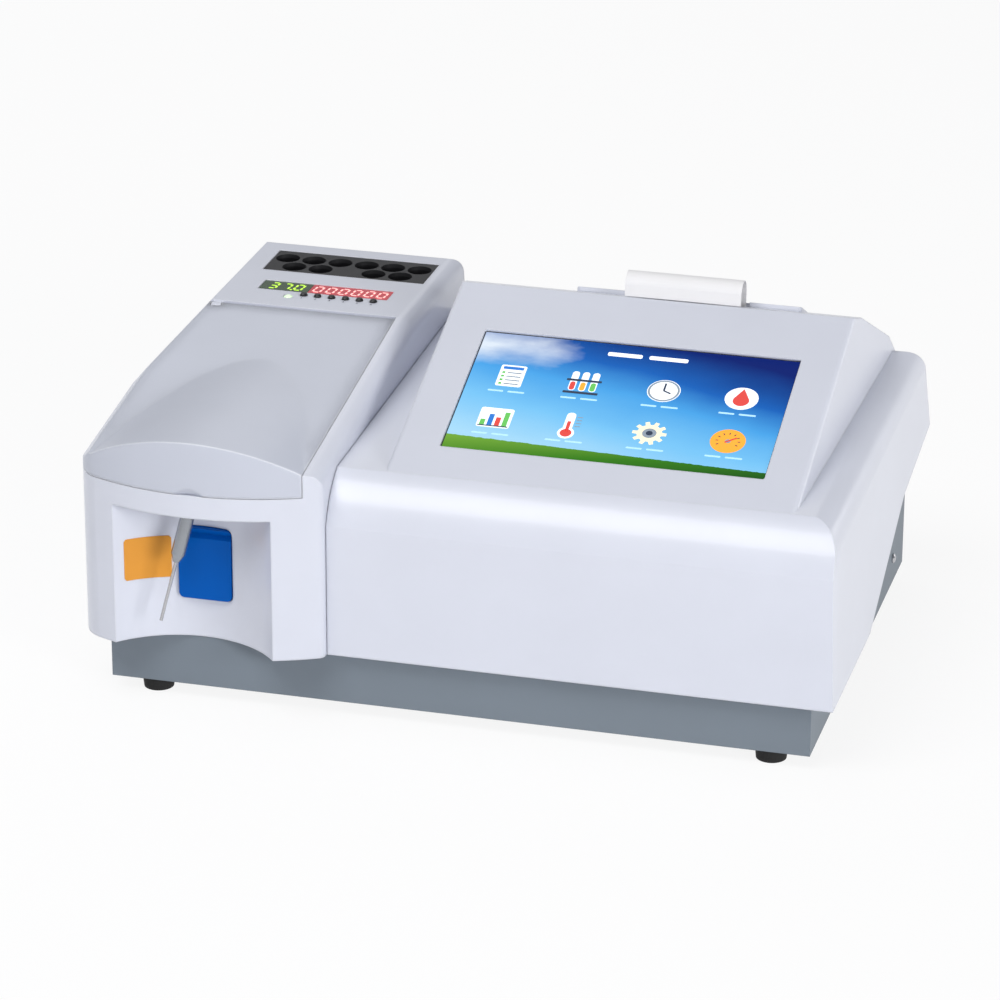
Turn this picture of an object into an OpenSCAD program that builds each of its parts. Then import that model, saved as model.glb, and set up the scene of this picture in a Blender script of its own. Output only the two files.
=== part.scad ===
// Benchtop chemistry analyzer with a sampling pod, a tilted touch screen and a slip printer.
// X runs to the right, Y to the rear and Z up. The origin is on the bench, under the middle of the unit.

/* [Overall] */
// Width over the pod and the main cover
unit_w = 362; // [352:1:376]
// Depth from the bow of the pod to the rear lip of the covers
unit_d = 273; // [268:1:284]
// Height of the rubber feet
foot_h = 7; // [5:0.5:10]
// Diameter of a foot
foot_d = 16; // [12:1:20]
// Height of the lower edge of the covers
cover_z = 33; // [31:0.5:36]
// Wall of the moulded covers
wall = 3; // [2.4:0.1:3.4]
// Gap in a seam between two covers
seam = 0.3; // [0.2:0.05:0.5]

/* [Main cover] */
// Height of the crease across the front
crease_z = 98; // [94:1:102]
// Depth of the rolled band above the crease
roll_d = 19; // [16:1:22]
// Radius of the rolled band
roll_r = 40; // [32:1:60]
// Height of the shoulder behind the rolled band
shoulder_z = 121; // [118:1:123]
// Rise of the shoulder from front to rear
shoulder_rise = 6; // [4:0.5:8]
// Radius of the shoulder along the right side
shoulder_r = 14; // [8:1:18]
// Inward lean of the right side over its height
side_lean = 2.5; // [1:0.5:4]
// Height of the rear lip of the covers
lip_z = 79; // [76:1:84]
// Forward lean of the rear wall over its height
rear_lean = 20; // [16:1:22]
// Distance from the front at which the lower edge starts to climb
sweep_y = 92; // [80:1:100]

/* [Screen] */
// Tilt of the screen
screen_tilt = 19.5; // [17:0.5:21]
// Width of the picture
screen_w = 154; // [140:1:158]
// Height of the picture
screen_h = 86; // [78:1:90]
// Width of the housing's frame left of the picture
bezel_l = 21.5; // [17.5:0.5:25.5]
// Width of the housing's frame right of the picture
bezel_r = 19.5; // [16.5:0.5:22.5]
// Slope length of the screen housing from its front line to the ridge
housing_u = 142; // [136:1:146]
// Margin below the picture
screen_margin = 21.5; // [16:0.5:24]
// Thickness of the touch glass
glass_t = 1.3; // [1:0.1:2]

/* [Pod] */
// Width of the pod
pod_w = 120; // [116:1:124]
// Radius of the bowed pod front
bow_r = 121; // [110:1:150]
// Distance that the bow stands in front of the main cover
bow_out = 20; // [18:0.5:22]
// Height of the plateau
plateau_z = 149; // [145:1:153]
// Depth of the plateau behind its crease
plateau_d = 93; // [89:1:96]
// Height at which the lid slope meets the front
slope_z = 127; // [124:1:129]
// Height of the crown of the hood
crown_z = 141; // [139:0.5:143]
// Radius of the hood
hood_r = 97; // [88:1:115]
// Height of the lid seam
lid_z = 115; // [113:0.5:117]
// Width of the fixed strip right of the lid
strip_w = 8.6; // [8:0.2:11]
// Radius along the right edge of the pod
pod_r = 8; // [5:0.5:8]
// Inward lean of the upper left side
flank_in = 16.5; // [12:0.5:18]
// Height at which the upper left side starts to lean
flank_z = 129.5; // [127:0.5:131]
// Distance from the main front to where the lean starts to drop
flank_y = 76; // [60:2:90]
// Height of the lean's front end above the lid seam
nose_rise = 4; // [3.5:0.5:6]
// Radius of the round down the left front corner
nose_r = 18; // [10:1:20]
// Radius of the round down the right front corner
strip_r = 4; // [3:0.5:5]

/* [Sampling recess] */
// Radius of the concave back wall
recess_r = 51; // [48:1:56]
// Depth of the back wall behind the main front
recess_in = 4.5; // [3:0.5:6]
// Height of the roof of the recess
recess_z = 103.5; // [101:0.5:105]
// Width of the blue aspirate key
key_w = 26; // [22:1:28]
// Height of the blue aspirate key
key_h = 36; // [32:1:38]
// Height of the lower edge of the key
key_z = 53.5; // [50:0.5:56]
// Travel of the key
key_travel = 2.5; // [1.5:0.5:3]
// Outer diameter of the probe holder
probe_d = 6.8; // [5.6:0.2:8]
// Length of the needle below the roof
needle_l = 58; // [45:1:64]

/* [Incubator] */
// Bore of a well, for a 12 mm tube
well_d = 12.3; // [12.2:0.05:12.5]
// Pitch of the wells along a row
well_pitch = 13.9; // [13.8:0.1:14.2]
// Distance between the two rows
row_pitch = 11.6; // [11.4:0.1:12.4]
// Depth of a well
well_depth = 38; // [30:1:39]
// Thickness of the dark top plate
plate_t = 2; // [1.5:0.1:3]

/* [Keys and displays] */
// Diameter of a timer button
button_d = 3.7; // [3:0.1:4.5]
// Pitch of the timer buttons
button_pitch = 7.2; // [6.8:0.1:7.3]
// Travel of a timer button
button_travel = 0.8; // [0.4:0.1:0.9]

/* [Pump and optics] */
// Radius on which the pump rollers run
orbit_r = 11.5; // [11:0.1:12]
// Radius of a pump roller
roller_r = 4; // [3.4:0.1:4.2]
// Outer diameter of the pump tube
tube_d = 3.8; // [3:0.1:4]
// Radius of the filter wheel
wheel_r = 24; // [22:0.5:25]
// Radius of the circle of filters
filter_ring = 17; // [15:0.5:17.5]

/* [Printer] */
// Width of the paper
paper_w = 57.5; // [50:0.5:58]
// Radius of the paper roll
roll_outer = 18; // [12:0.5:19]
// Radius of the platen
platen_r = 5; // [4:0.2:5.4]
// Height that the paper stands out of the slot
paper_out = 14; // [12:0.5:18]
// Width of the printer door
door_w = 112; // [100:1:116]
// Length of the printer door along the slope
door_l = 58; // [52:1:59]

/* [Rear and base] */
// Thickness of the sheet metal
sheet = 1.6; // [1.2:0.1:2]
// Size of the square fan
fan_w = 60; // [50:1:60]
// Depth of the fan
fan_t = 15; // [12:1:20]

/* [Hidden] */
$fn = 64;

left_x = -unit_w / 2;
right_x = unit_w / 2;
pod_x1 = left_x + pod_w;
pod_cx = left_x + pod_w / 2;
rear_y = unit_d / 2;
front_y = bow_out - unit_d / 2;
main_x0 = pod_x1 + seam;
main_cx = (main_x0 + right_x) / 2;
run = 0.3;
fit = 0.05;
far = 400;
house_white = "#d9dce6";
steel_grey = "#85909c";

// Edge distances of the covers in side view
rear_top_y = rear_y - rear_lean;
shoulder_rear_z = shoulder_z + shoulder_rise;
sweep_mid_y = rear_y - 72;
sweep_mid_z = lip_z - 10;
shoulder_tilt = atan(shoulder_rise / (rear_top_y - front_y - roll_d));
lean_per_mm = side_lean / (shoulder_z - cover_z);

// The screen plane starts at the rear of the rolled band
screen_y = front_y + roll_d + 1;
screen_z = shoulder_z;
ridge = [screen_y + housing_u * cos(screen_tilt), screen_z + housing_u * sin(screen_tilt)];
back_slope_y = ridge[0] + 13;
back_slope_z = ridge[1] - 4;
back_tilt = 27.7;
back_l = 61;
housing_lean = 6;
screen_cx = main_cx + 0.35;
housing_x0 = screen_cx - screen_w / 2 - bezel_l;
housing_x1 = screen_cx + screen_w / 2 + bezel_r;

// Geometry of the pod
bow_cy = front_y - bow_out + bow_r;
plateau_rear_y = rear_y - 12;
crease_y = plateau_rear_y - plateau_d;
slope_tilt = atan((plateau_z - slope_z) / (crease_y - front_y));
hinge_r = 2.5;
hinge_y = crease_y - hinge_r - run;
hinge_z = plateau_z - hinge_r - 0.4;
pin_r = 1.25;
pin_x1 = pod_x1 - 5.2;
lid_x1 = pod_x1 - strip_w;
tongue_x0 = left_x + flank_in + 1;
tongue_w = 5;
recess_cx = pod_cx - 1.5;
recess_cy = front_y + recess_in - recess_r;
probe_at = [pod_cx - 4, front_y - 6, recess_z];
probe_turn = [-8, 13, 0];

// Shelf heights inside the pod
tray_x = unit_w / 2 - 11;
floor_z = foot_h + sheet;
deck_z = 72;
deck_x0 = sheet + run - tray_x;
deck_x1 = pod_x1 - wall - 2;
plate_w = 6 * well_pitch + 0.6;
plate_d = row_pitch + well_d + 6.1;
plate_x = pod_cx + 9;
plate_y = crease_y + 49.6;
plate_top = plateau_z - 0.3;
block_top = plate_top - plate_t;
block_h = well_depth;
heater_t = 3.9;
row_y = [plate_y + 8.2, plate_y + 8.2 + row_pitch];
well_x0 = plate_x - 2.5 * well_pitch - 0.1;
well_at = concat(
    [for (i = [0:5]) [well_x0 + i * well_pitch, row_y[1]]],
    [for (i = [0, 1, 3, 4]) [well_x0 + (i + 0.5) * well_pitch, row_y[0]]]);
display_y = crease_y + 28.2;
display_d = 13.2;
display_x0 = plate_x - 35.5;
temp_w = 25.4;
timer_w = 41.4;
button_y = crease_y + 17.6;
button_x0 = display_x0 + temp_w - 0.3;
button_flange_z = plateau_z - wall - 0.3;
board_z = plateau_z - wall - 6.7;

post_x = [pod_cx - 25, pod_x1 - 8];

// Optical line and pump
optic_y = front_y + 105;
optic_z = deck_z + 26.5;
wheel_y = optic_y + filter_ring;
wheel_x = pod_cx + 14;
cell_x0 = pod_cx - 13;
cell_w = 18;
pump_x = pod_cx - 17.9;
pump_y = front_y + 50;
race_r = orbit_r + roller_r + tube_d + 0.6;
pump_tube_r = race_r - tube_d / 2 - 0.1;
pump_tube_z = deck_z + 13;

// Rear panel and its fittings
panel_y = rear_y - 10;
panel_z1 = lip_z - 10 * (rear_y - panel_y) / 72 - run;
tray_y0 = front_y + 5;
fan_x = 20;
fan_z = floor_z + 33;
inlet_x = tray_x - 38;
switch_x = inlet_x - 32;
data_x = -30;
fitting_z = floor_z + 28;

// Printer, in the frame of the rear slope
print_x = screen_cx + 11.5;
roll_v = 38;
roll_w = -22;
platen_v = 13;
platen_w = -7;
cheek_x = door_w / 2 - 17;
door_hinge_r = 2.2;
door_hinge_w = door_hinge_r + run;
door_v0 = 3;

function unit_vector(v) = v / norm(v);

// The corner between two edges of an outline, each moved inward by its own distance
function moved_corner(a, b, c, d1, d2) =
    let(u = unit_vector(b - a), v = unit_vector(c - b),
        p = b + d1 * [-u[1], u[0]], q = b + d2 * [-v[1], v[0]])
    p + u * cross(q - p, v) / cross(u, v);

// A counter-clockwise outline with each edge moved inward; d holds one distance per edge
function inset(pts, d) = let(n = len(pts))
    [for (i = [0:n - 1]) moved_corner(pts[(i + n - 1) % n], pts[i], pts[(i + 1) % n],
        d[(i + n - 1) % n], d[i])];

// Centre of a round of radius r at the corner b
function round_centre(a, b, c, r) = let(u = unit_vector(a - b), v = unit_vector(c - b))
    b + unit_vector(u + v) * r / sin(acos(u * v) / 2);

// Where the upper tangent from p meets a circle round o
function tangent_point(p, o, r) = let(d = norm(o - p),
        a = atan2(o[1] - p[1], o[0] - p[0]) + asin(r / d))
    p + sqrt(d * d - r * r) * [cos(a), sin(a)];

// What a round of radius r removes from the corner b of an outline
module corner_waste(a, b, c, r) {
    u = unit_vector(a - b);
    v = unit_vector(c - b);
    half = acos(u * v) / 2;
    o = b + unit_vector(u + v) * r / sin(half);
    p = b + u * r / tan(half);
    q = b + v * r / tan(half);
    difference() {
        polygon([o, p + unit_vector(p - o), b + 2 * unit_vector(b - o), q + unit_vector(q - o)]);
        translate(o) circle(r + 0.003);
    }
}

// The round segment that stands on the chord from p to q, bulging to its left
module arc_bulge(p, q, r) {
    u = unit_vector(q - p);
    n = [-u[1], u[0]];
    h = norm(q - p) / 2;
    o = (p + q) / 2 - n * sqrt(r * r - h * h);
    intersection() {
        translate(o) circle(r, $fn = 180);
        polygon([p - n, q - n, q + n * h, p + n * h]);
    }
}

// Directions along a path of points
function path_dirs(p) = let(n = len(p) - 1) [for (i = [0:n])
    unit_vector(p[min(i + 1, n)] - p[max(i - 1, 0)])];

// A vector carried along the path and kept square to it
function carried(d, u) = [for (i = 0, w = unit_vector(u - (u * d[0]) * d[0]); i < len(d);
    i = i + 1, w = i < len(d) ? unit_vector(w - (w * d[i]) * d[i]) : w) w];

// A round rod along a path of points
module sweep(path, r, sides) {
    dirs = path_dirs(path);
    ups = carried(dirs, [0.31, 0.2, 0.93]);
    last = len(path) - 1;
    pts = [for (i = [0:last], j = [0:sides - 1]) let(v = cross(dirs[i], ups[i]), a = 360 * j / sides)
        path[i] + r * (cos(a) * ups[i] + sin(a) * v)];
    walls = [for (i = [0:last - 1], j = [0:sides - 1]) let(k = (j + 1) % sides)
        [sides * (i + 1) + j, sides * (i + 1) + k, sides * i + k, sides * i + j]];
    polyhedron(pts, concat(walls, [[for (j = [0:sides - 1]) j],
        [for (j = [sides - 1:-1:0]) sides * last + j]]));
}

// A path of points with every inner corner turned on a bend radius
function bent(p, bend) = let(n = len(p) - 1) concat([p[0]],
    [for (i = [1:n - 1]) each bend_points(p[i], unit_vector(p[i - 1] - p[i]),
        unit_vector(p[i + 1] - p[i]), bend)], [p[n]]);

// Points on the arc that turns the corner b, between the directions u and v
function bend_points(b, u, v, r) = let(half = acos(u * v) / 2, w = unit_vector(u + v),
        o = b + w * r / sin(half), m = unit_vector(u - v), turn = 90 - half)
    [for (k = [-4:4]) let(a = turn * k / 4) o + r * (-w * cos(a) - m * sin(a))];

// Outline in the YZ plane, made solid from x0 to x1
module across(x0, x1) translate([x0, 0, 0]) rotate([90, 0, 90]) linear_extrude(x1 - x0) children();
// Outline in the XZ plane, made solid from y0 to y1
module along(y0, y1) translate([0, y1, 0]) rotate([90, 0, 0]) linear_extrude(y1 - y0) children();
module block(lo, hi) translate(lo) cube(hi - lo);
module rod_x(x0, x1, r) translate([x0, 0, 0]) rotate([0, 90, 0]) cylinder(r = r, h = x1 - x0);
module rod_y(y0, y1, r) translate([0, y0, 0]) rotate([-90, 0, 0]) cylinder(r = r, h = y1 - y0);
module plate(w, d, h, r) translate([0, 0, 0]) linear_extrude(h) rounded(w, d, r);
module rounded(w, d, r) {
    square([w - 2 * r, d], center = true);
    square([w, d - 2 * r], center = true);
    for (sx = [-1, 1], sy = [-1, 1]) translate([sx * (w / 2 - r), sy * (d / 2 - r)]) circle(r);
}
module both_sides(x) for (s = [-1, 1]) translate([s * x, 0, 0]) children();

// Frame of the screen: x across, y up the slope, z out of the screen
module on_screen() translate([0, screen_y, screen_z]) rotate([screen_tilt, 0, 0]) children();
// Frame of the rear slope: x across, y down the slope, z out of it
module on_back() translate([print_x, back_slope_y, back_slope_z]) rotate([-back_tilt, 0, 0]) children();

// Main cover with the screen housing
cover_side = [[front_y, cover_z], [front_y + sweep_y, cover_z], [sweep_mid_y, sweep_mid_z],
    [rear_y, lip_z], [rear_top_y, shoulder_rear_z], [front_y + roll_d, shoulder_z], [front_y, crease_z]];
foot_of_slope = [back_slope_y + back_l * cos(back_tilt), back_slope_z - back_l * sin(back_tilt)];
// Centre of the round at the rear of the shoulder, and the point where a plane from the slope meets it
rear_round = round_centre(cover_side[3], cover_side[4], cover_side[5], shoulder_r);
rear_meet = tangent_point(foot_of_slope, rear_round, shoulder_r);
housing_side = [[screen_y + 6, screen_z - 8], [rear_meet[0] - 6, screen_z - 8], rear_meet,
    foot_of_slope, [back_slope_y, back_slope_z], ridge, [screen_y, screen_z]];

module cover_body(t) {
    open = -8;
    side = t == 0 ? cover_side : inset(cover_side, [open, open, open, t, t, t, t]);
    difference() {
        intersection() {
            across(main_x0 + t, right_x + 5) difference() {
                union() {
                    polygon(side);
                    if (t == 0) arc_bulge(side[6], side[5], roll_r);
                }
                corner_waste(side[3], side[4], side[5], shoulder_r - t);
            }
            along(-far, far) polygon([[pod_x1 - 5, -20], [side_x(-20) - t, -20],
                [side_x(200) - t, 200], [pod_x1 - 5, 200]]);
        }
        shoulder_round(t);
    }
}

function side_x(z) = right_x - (z - cover_z) * lean_per_mm;

module shoulder_round(t) {
    top = side_x(shoulder_z) - t;
    translate([0, front_y + roll_d, shoulder_z - t]) rotate([shoulder_tilt, 0, 0])
        along(-60, far) corner_waste([top - 50, 0], [top, 0], [top + 50 * lean_per_mm, -50],
            shoulder_r - t);
}

module housing_body(t) {
    side = t == 0 ? housing_side : inset(housing_side, [-6, t, t, t, t, t, -0.5]);
    lean = tan(housing_lean);
    difference() {
        intersection() {
            across(housing_x0 - 14, housing_x1 + 14) polygon(side);
            on_screen() along(-80, far) polygon([[housing_x0 + t - 110 * lean, -110],
                [housing_x1 - t + 110 * lean, -110], [housing_x1 - t - 30 * lean, 30],
                [housing_x0 + t + 30 * lean, 30]]);
        }
        if (t == 0) on_screen() {
            along(-20, far) corner_waste([housing_x1 - 40, 0], [housing_x1, 0],
                [housing_x1 + 40 * lean, -40], 2.5);
            along(-20, far) corner_waste([housing_x0 - 40 * lean, -40], [housing_x0, 0],
                [housing_x0 + 40, 0], 2.5);
        }
    }
}

module main_cover() color(house_white) {
    difference() {
        union() {
            cover_body(0);
            housing_body(0);
        }
        cover_body(wall);
        housing_body(wall);
        // Window and the pocket behind it that seats the glass
        on_screen() translate([screen_cx, screen_margin + screen_h / 2, 0]) {
            translate([0, 0, -wall - 1]) plate(screen_w + 1, screen_h + 1, wall + 3, 1);
            translate([0, 0, -wall - 1]) plate(screen_w + 11, screen_h + 13, wall - 0.2, 2);
        }
        // Mouth of the paper bay
        on_back() block([-cheek_x - 1, 5, -wall - 2], [cheek_x + 1, door_l - 3, 3]);
        // Slot for the paper
        on_back() block([-paper_w / 2 - 2, 1.2, -wall - 2], [paper_w / 2 + 2, 6, 3]);
    }
    door_ears();
    cover_posts();
}

// Two ears on the rear slope hold the pins of the printer door
module door_ears() on_back() both_sides(door_w / 2 + 3.3) difference() {
    union() {
        translate([0, door_l, door_hinge_w]) rod_x(-2.5, 2.5, door_hinge_r);
        block([-2.5, door_l - door_hinge_r, -0.5], [2.5, door_l + door_hinge_r, door_hinge_w]);
    }
    translate([0, door_l, door_hinge_w]) rod_x(-3, 3, 1 + fit);
}

// Posts stand on the tray and reach into the roof above them
module cover_posts() intersection() {
    for (x = [pod_x1 + 14, right_x - 19.5], y = [front_y + 26, rear_y - 46]) translate([x, y, 0])
        difference() {
            translate([0, 0, floor_z + run]) cylinder(r = 4.5, h = far);
            translate([0, 0, floor_z - 1]) cylinder(r = 1.5, h = 18);
        }
    union() {
        cover_body(1);
        housing_body(1);
        block([main_x0, front_y, 0], [right_x, rear_y, lip_z]);
    }
}

// Pod outline, with every wall moved inward by t
module pod_plan(t) translate([0, 0, -10]) linear_extrude(far) difference() {
    intersection() {
        union() {
            translate([pod_cx, bow_cy]) circle(bow_r - t, $fn = 240);
            translate([left_x - 20, bow_cy]) square([pod_w + 40, far]);
        }
        translate([left_x + t, -far]) square([pod_w - 2 * t, 2 * far]);
    }
    bow_corner_waste(left_x, nose_r, t);
    bow_corner_waste(pod_x1, strip_r, t);
}

// What a round of radius r between a side wall and the bow takes away
module bow_corner_waste(edge, r, t) {
    side = edge < pod_cx ? 1 : -1;
    x = edge + side * r;
    c = [x, bow_cy - sqrt(pow(bow_r - r, 2) - pow(x - pod_cx, 2))];
    out = unit_vector(c - [pod_cx, bow_cy]) * (r + 12);
    difference() {
        polygon([c, c + out, [edge - side * 12, c[1] + out[1]], [edge - side * 12, c[1]]]);
        translate(c) circle(max(0.4, r - t) + 0.003, $fn = 72);
    }
}

pod_side = [[front_y - 40, cover_z], [front_y + sweep_y, cover_z], [sweep_mid_y, sweep_mid_z],
    [rear_y, lip_z], [plateau_rear_y, plateau_z], [crease_y, plateau_z],
    [front_y - 40, slope_z - 40 * tan(slope_tilt)]];
flank_slope = flank_in / (plateau_z - flank_z);

// The scoop in the lid is the cap of a ball in front of it, as wide, high and deep as this
scoop_w = 16;
scoop_h = 3.4;
scoop_in = 1.6;
scoop_below = (pow(scoop_w / 2, 2) - pow(scoop_h, 2)) / (2 * scoop_h);
scoop_ahead = (pow(scoop_w / 2, 2) - pow(scoop_in, 2)) / (2 * scoop_in);
scoop_r = norm([scoop_ahead, scoop_below, scoop_w / 2]);

module pod_body(t) {
    side = t == 0 ? pod_side : inset(pod_side, [-8, -8, -8, t, t, t, 0]);
    section = [[left_x - 8, -20], [pod_x1 + 8, -20], [pod_x1 + 8, 190],
        [left_x + (190 - flank_z) * flank_slope, 190], [left_x, flank_z], [left_x - 8, flank_z - 14]];
    shape = t == 0 ? section : inset(section, [0, 0, 0, t, t, 0]);
    difference() {
        intersection() {
            pod_plan(t);
            along(-far, far) polygon(shape);
            union() {
                across(left_x - 8, pod_x1 + 8) difference() {
                    polygon(side);
                    corner_waste(side[3], side[4], side[5], max(0.4, 5 - t));
                }
                intersection() {
                    translate([pod_cx, 0, crown_z - hood_r]) rod_y(front_y - 40, crease_y - 30, hood_r - t);
                    block([left_x, front_y - 50, lid_z - 10], [pod_x1, crease_y, crown_z + 1]);
                }
            }
        }
        pod_round(t);
        nose_waste(t);
    }
}

// Towards the front, the lean of the left side starts lower
module nose_waste(t) {
    drop = atan((flank_z - lid_z - nose_rise) / flank_y);
    lean = unit_vector([flank_slope, cos(drop)]);
    translate([left_x, front_y + flank_y, flank_z]) rotate([drop, 0, 0]) along(-far, far)
        translate([lean[1], -lean[0]] * t)
            polygon([lean * -30, lean * 60, [-60, lean[1] * 60], [-60, lean[1] * -30]]);
}

// The round along the right edge follows the plateau, then the slope
module pod_round(t) {
    r = max(0.4, pod_r - t);
    edge = pod_x1 - t;
    top = plateau_z - t;
    translate([0, crease_y, top]) {
        along(-3, far) corner_waste([edge, -40], [edge, 0], [edge - 40, 0], r);
        rotate([slope_tilt, 0, 0]) along(-far, 3) corner_waste([edge, -40], [edge, 0], [edge - 40, 0], r);
    }
}

// The part of the pod that opens with the lid
module lid_zone(gap) {
    block([left_x - 20, front_y - 60, lid_z - gap], [lid_x1 + gap, crease_y + gap, far]);
}

// Cylinders of the hinge line, from x0 to x1
module on_hinge() translate([0, hinge_y, hinge_z]) children();

module pod_cover() color(house_white) difference() {
    union() {
        difference() {
            pod_body(0);
            // The cavity leaves the wall of the recess and the hinge rib standing
            difference() {
                pod_body(wall);
                translate([recess_cx, recess_cy, 0])
                    cylinder(r = recess_r + wall, h = recess_z + wall, $fn = 180);
                block([lid_x1 + seam, hinge_y - 8, hinge_z - 9], [pod_x1, crease_y + 4, plateau_z]);
            }
            lid_zone(seam);
        }
        tongue();
        pod_posts();
    }
    translate([recess_cx, recess_cy, -1]) cylinder(r = recess_r, h = recess_z + 1, $fn = 180);
    // Window of the key
    translate([pod_cx, front_y, key_z + key_h / 2]) rotate([90, 0, 0])
        translate([0, 0, -20]) plate(key_w + 0.8, key_h + 0.8, 40, 3);
    translate(probe_at) rotate(probe_turn) translate([0, 0, -12]) cylinder(d = probe_d + 0.4, h = 30);
    plateau_cuts();
    on_hinge() rod_x(tongue_x0 - 1, pin_x1 + 0.2, pin_r);
}

// Openings in the plateau for the wells, the displays and the buttons
module plateau_cuts() translate([0, 0, plateau_z - wall - 4]) {
    translate([plate_x, plate_y + plate_d / 2]) plate(plate_w + 0.4, plate_d + 0.4, wall + 8, 0.6);
    translate([display_x0 + (temp_w + timer_w) / 2, display_y])
        plate(temp_w + timer_w + 0.4, display_d + 0.4, wall + 8, 0.6);
    for (i = [0:5]) translate([button_x0 + i * button_pitch, button_y])
        cylinder(d = button_d + 0.4, h = wall + 8);
    translate([button_x0 - 7, button_y - 3.5]) cylinder(d = 5.0, h = wall + 8);
}

// A tongue of the plateau reaches under the hinge line and holds the pin
module tongue() {
    on_hinge() rod_x(tongue_x0, tongue_x0 + tongue_w, hinge_r);
    block([tongue_x0, hinge_y, hinge_z - hinge_r + 0.2], [tongue_x0 + tongue_w, crease_y + 6, plateau_z - 1]);
}

// Posts under the plateau stand on the tray
module pod_posts() for (x = post_x) translate([x, plateau_rear_y - 4, 0]) difference() {
    translate([0, 0, floor_z + run]) cylinder(r = 4, h = plateau_z - wall + 1 - floor_z - run);
    translate([0, 0, floor_z - 1]) cylinder(r = 1.5, h = 18);
}

module sampling_lid() color("#d2d5e0") difference() {
    union() {
        intersection() {
            difference() {
                pod_body(0);
                difference() {
                    pod_body(wall);
                    lid_rib();
                }
            }
            lid_zone(0);
        }
        on_hinge() rod_x(tongue_x0 + tongue_w + run, lid_x1, hinge_r);
    }
    // Room for the tongue, and for the barrel to turn
    block([tongue_x0 - run, hinge_y - hinge_r - run, hinge_z - 8],
        [tongue_x0 + tongue_w + run, crease_y + 1, far]);
    difference() {
        block([left_x - 5, hinge_y, lid_z - 1], [lid_x1 + 1, crease_y + 1, far]);
        on_hinge() rod_x(left_x - 6, lid_x1 + 2, hinge_r);
    }
    on_hinge() rod_x(tongue_x0 - 4, lid_x1 + 1, pin_r + fit);
    // Finger scoop in the front edge
    translate([pod_cx, front_y - bow_out - scoop_ahead, lid_z - scoop_below]) sphere(scoop_r, $fn = 120);
}

// Rib along the right edge, 4 mm deep under the skin
module lid_rib() difference() {
    block([lid_x1 - 2, front_y - 40, lid_z - 1], [lid_x1 + 1, hinge_y - 6, far]);
    pod_body(wall + 4);
}

module lid_hinge_pin() color("silver") on_hinge() rod_x(tongue_x0 + 0.2, pin_x1, pin_r);

// Base
module base_tray() color(steel_grey) difference() {
    union() {
        block([-tray_x, tray_y0, foot_h], [tray_x, panel_y, floor_z]);
        tray_front();
        both_sides(tray_x - sheet / 2) across(-sheet / 2, sheet / 2) polygon([[tray_y0, foot_h],
            [panel_y, foot_h], [panel_y, panel_z1], [panel_y - 4, panel_z1 + 9],
            [sweep_mid_y, sweep_mid_z + 11], [front_y + sweep_y, cover_z + 12], [tray_y0, cover_z + 12]]);
        tray_ledge();
        // Rim that the rear panel stands on
        block([-tray_x, panel_y - 12, foot_h], [tray_x, panel_y, floor_z]);
    }
    both_sides(tray_x) translate([0, screw_y, screw_z]) rod_x(-5, 5, 1.6);
    for (p = foot_at) translate([p[0], p[1], foot_h - 1]) cylinder(r = 1.6, h = sheet + 2);
}

screw_y = panel_y - 30;
screw_z = foot_h + 14;
foot_at = [for (x = [-1, 1], y = [front_y + 15, panel_y - 18]) [x * (tray_x - 20), y]];

module tray_front() {
    block([-tray_x, tray_y0, foot_h], [main_x0 + wall + 1, tray_y0 + sheet, cover_z - run]);
    block([main_x0 + wall + 1, tray_y0, foot_h], [tray_x, tray_y0 + sheet, cover_z + 12]);
}

// Ledge behind the lower edge of the covers
module tray_ledge() {
    z = cover_z + 1.5;
    block([main_x0 + wall + 1, front_y + wall + run, z], [tray_x + 6, tray_y0 + 1, z + sheet]);
    block([tray_x - 1, front_y + wall + run, z],
        [side_x(z + sheet) - wall - run, front_y + sweep_y - 4, z + sheet]);
    block([left_x + wall + run, front_y + 4, z], [-tray_x + 1, front_y + sweep_y - 4, z + sheet]);
}

module feet() color("#1c1c1e") for (p = foot_at) translate([p[0], p[1], 0]) difference() {
    union() {
        cylinder(d1 = foot_d - 1.6, d2 = foot_d, h = foot_h);
        translate([0, 0, foot_h]) cylinder(r = 1.5, h = sheet + 1.5);
    }
    translate([0, 0, -1]) cylinder(r = 3, h = 3);
}

module pan_screw(r, shank) {
    intersection() {
        translate([0, 0, -r * 0.55]) sphere(r * 1.3);
        cylinder(r = r, h = 2 * r);
    }
    translate([0, 0, -shank]) cylinder(r = 1.5, h = shank);
}

module side_screws() color("silver") for (s = [-1, 1])
    translate([s * tray_x, screw_y, screw_z]) rotate([0, s * 90, 0]) pan_screw(2.4, 6);

panel_screw_at = [for (x = [-tray_x + 10, -60, 60, tray_x - 10], z = [floor_z + 8, panel_z1 - 14]) [x, z]];

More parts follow.
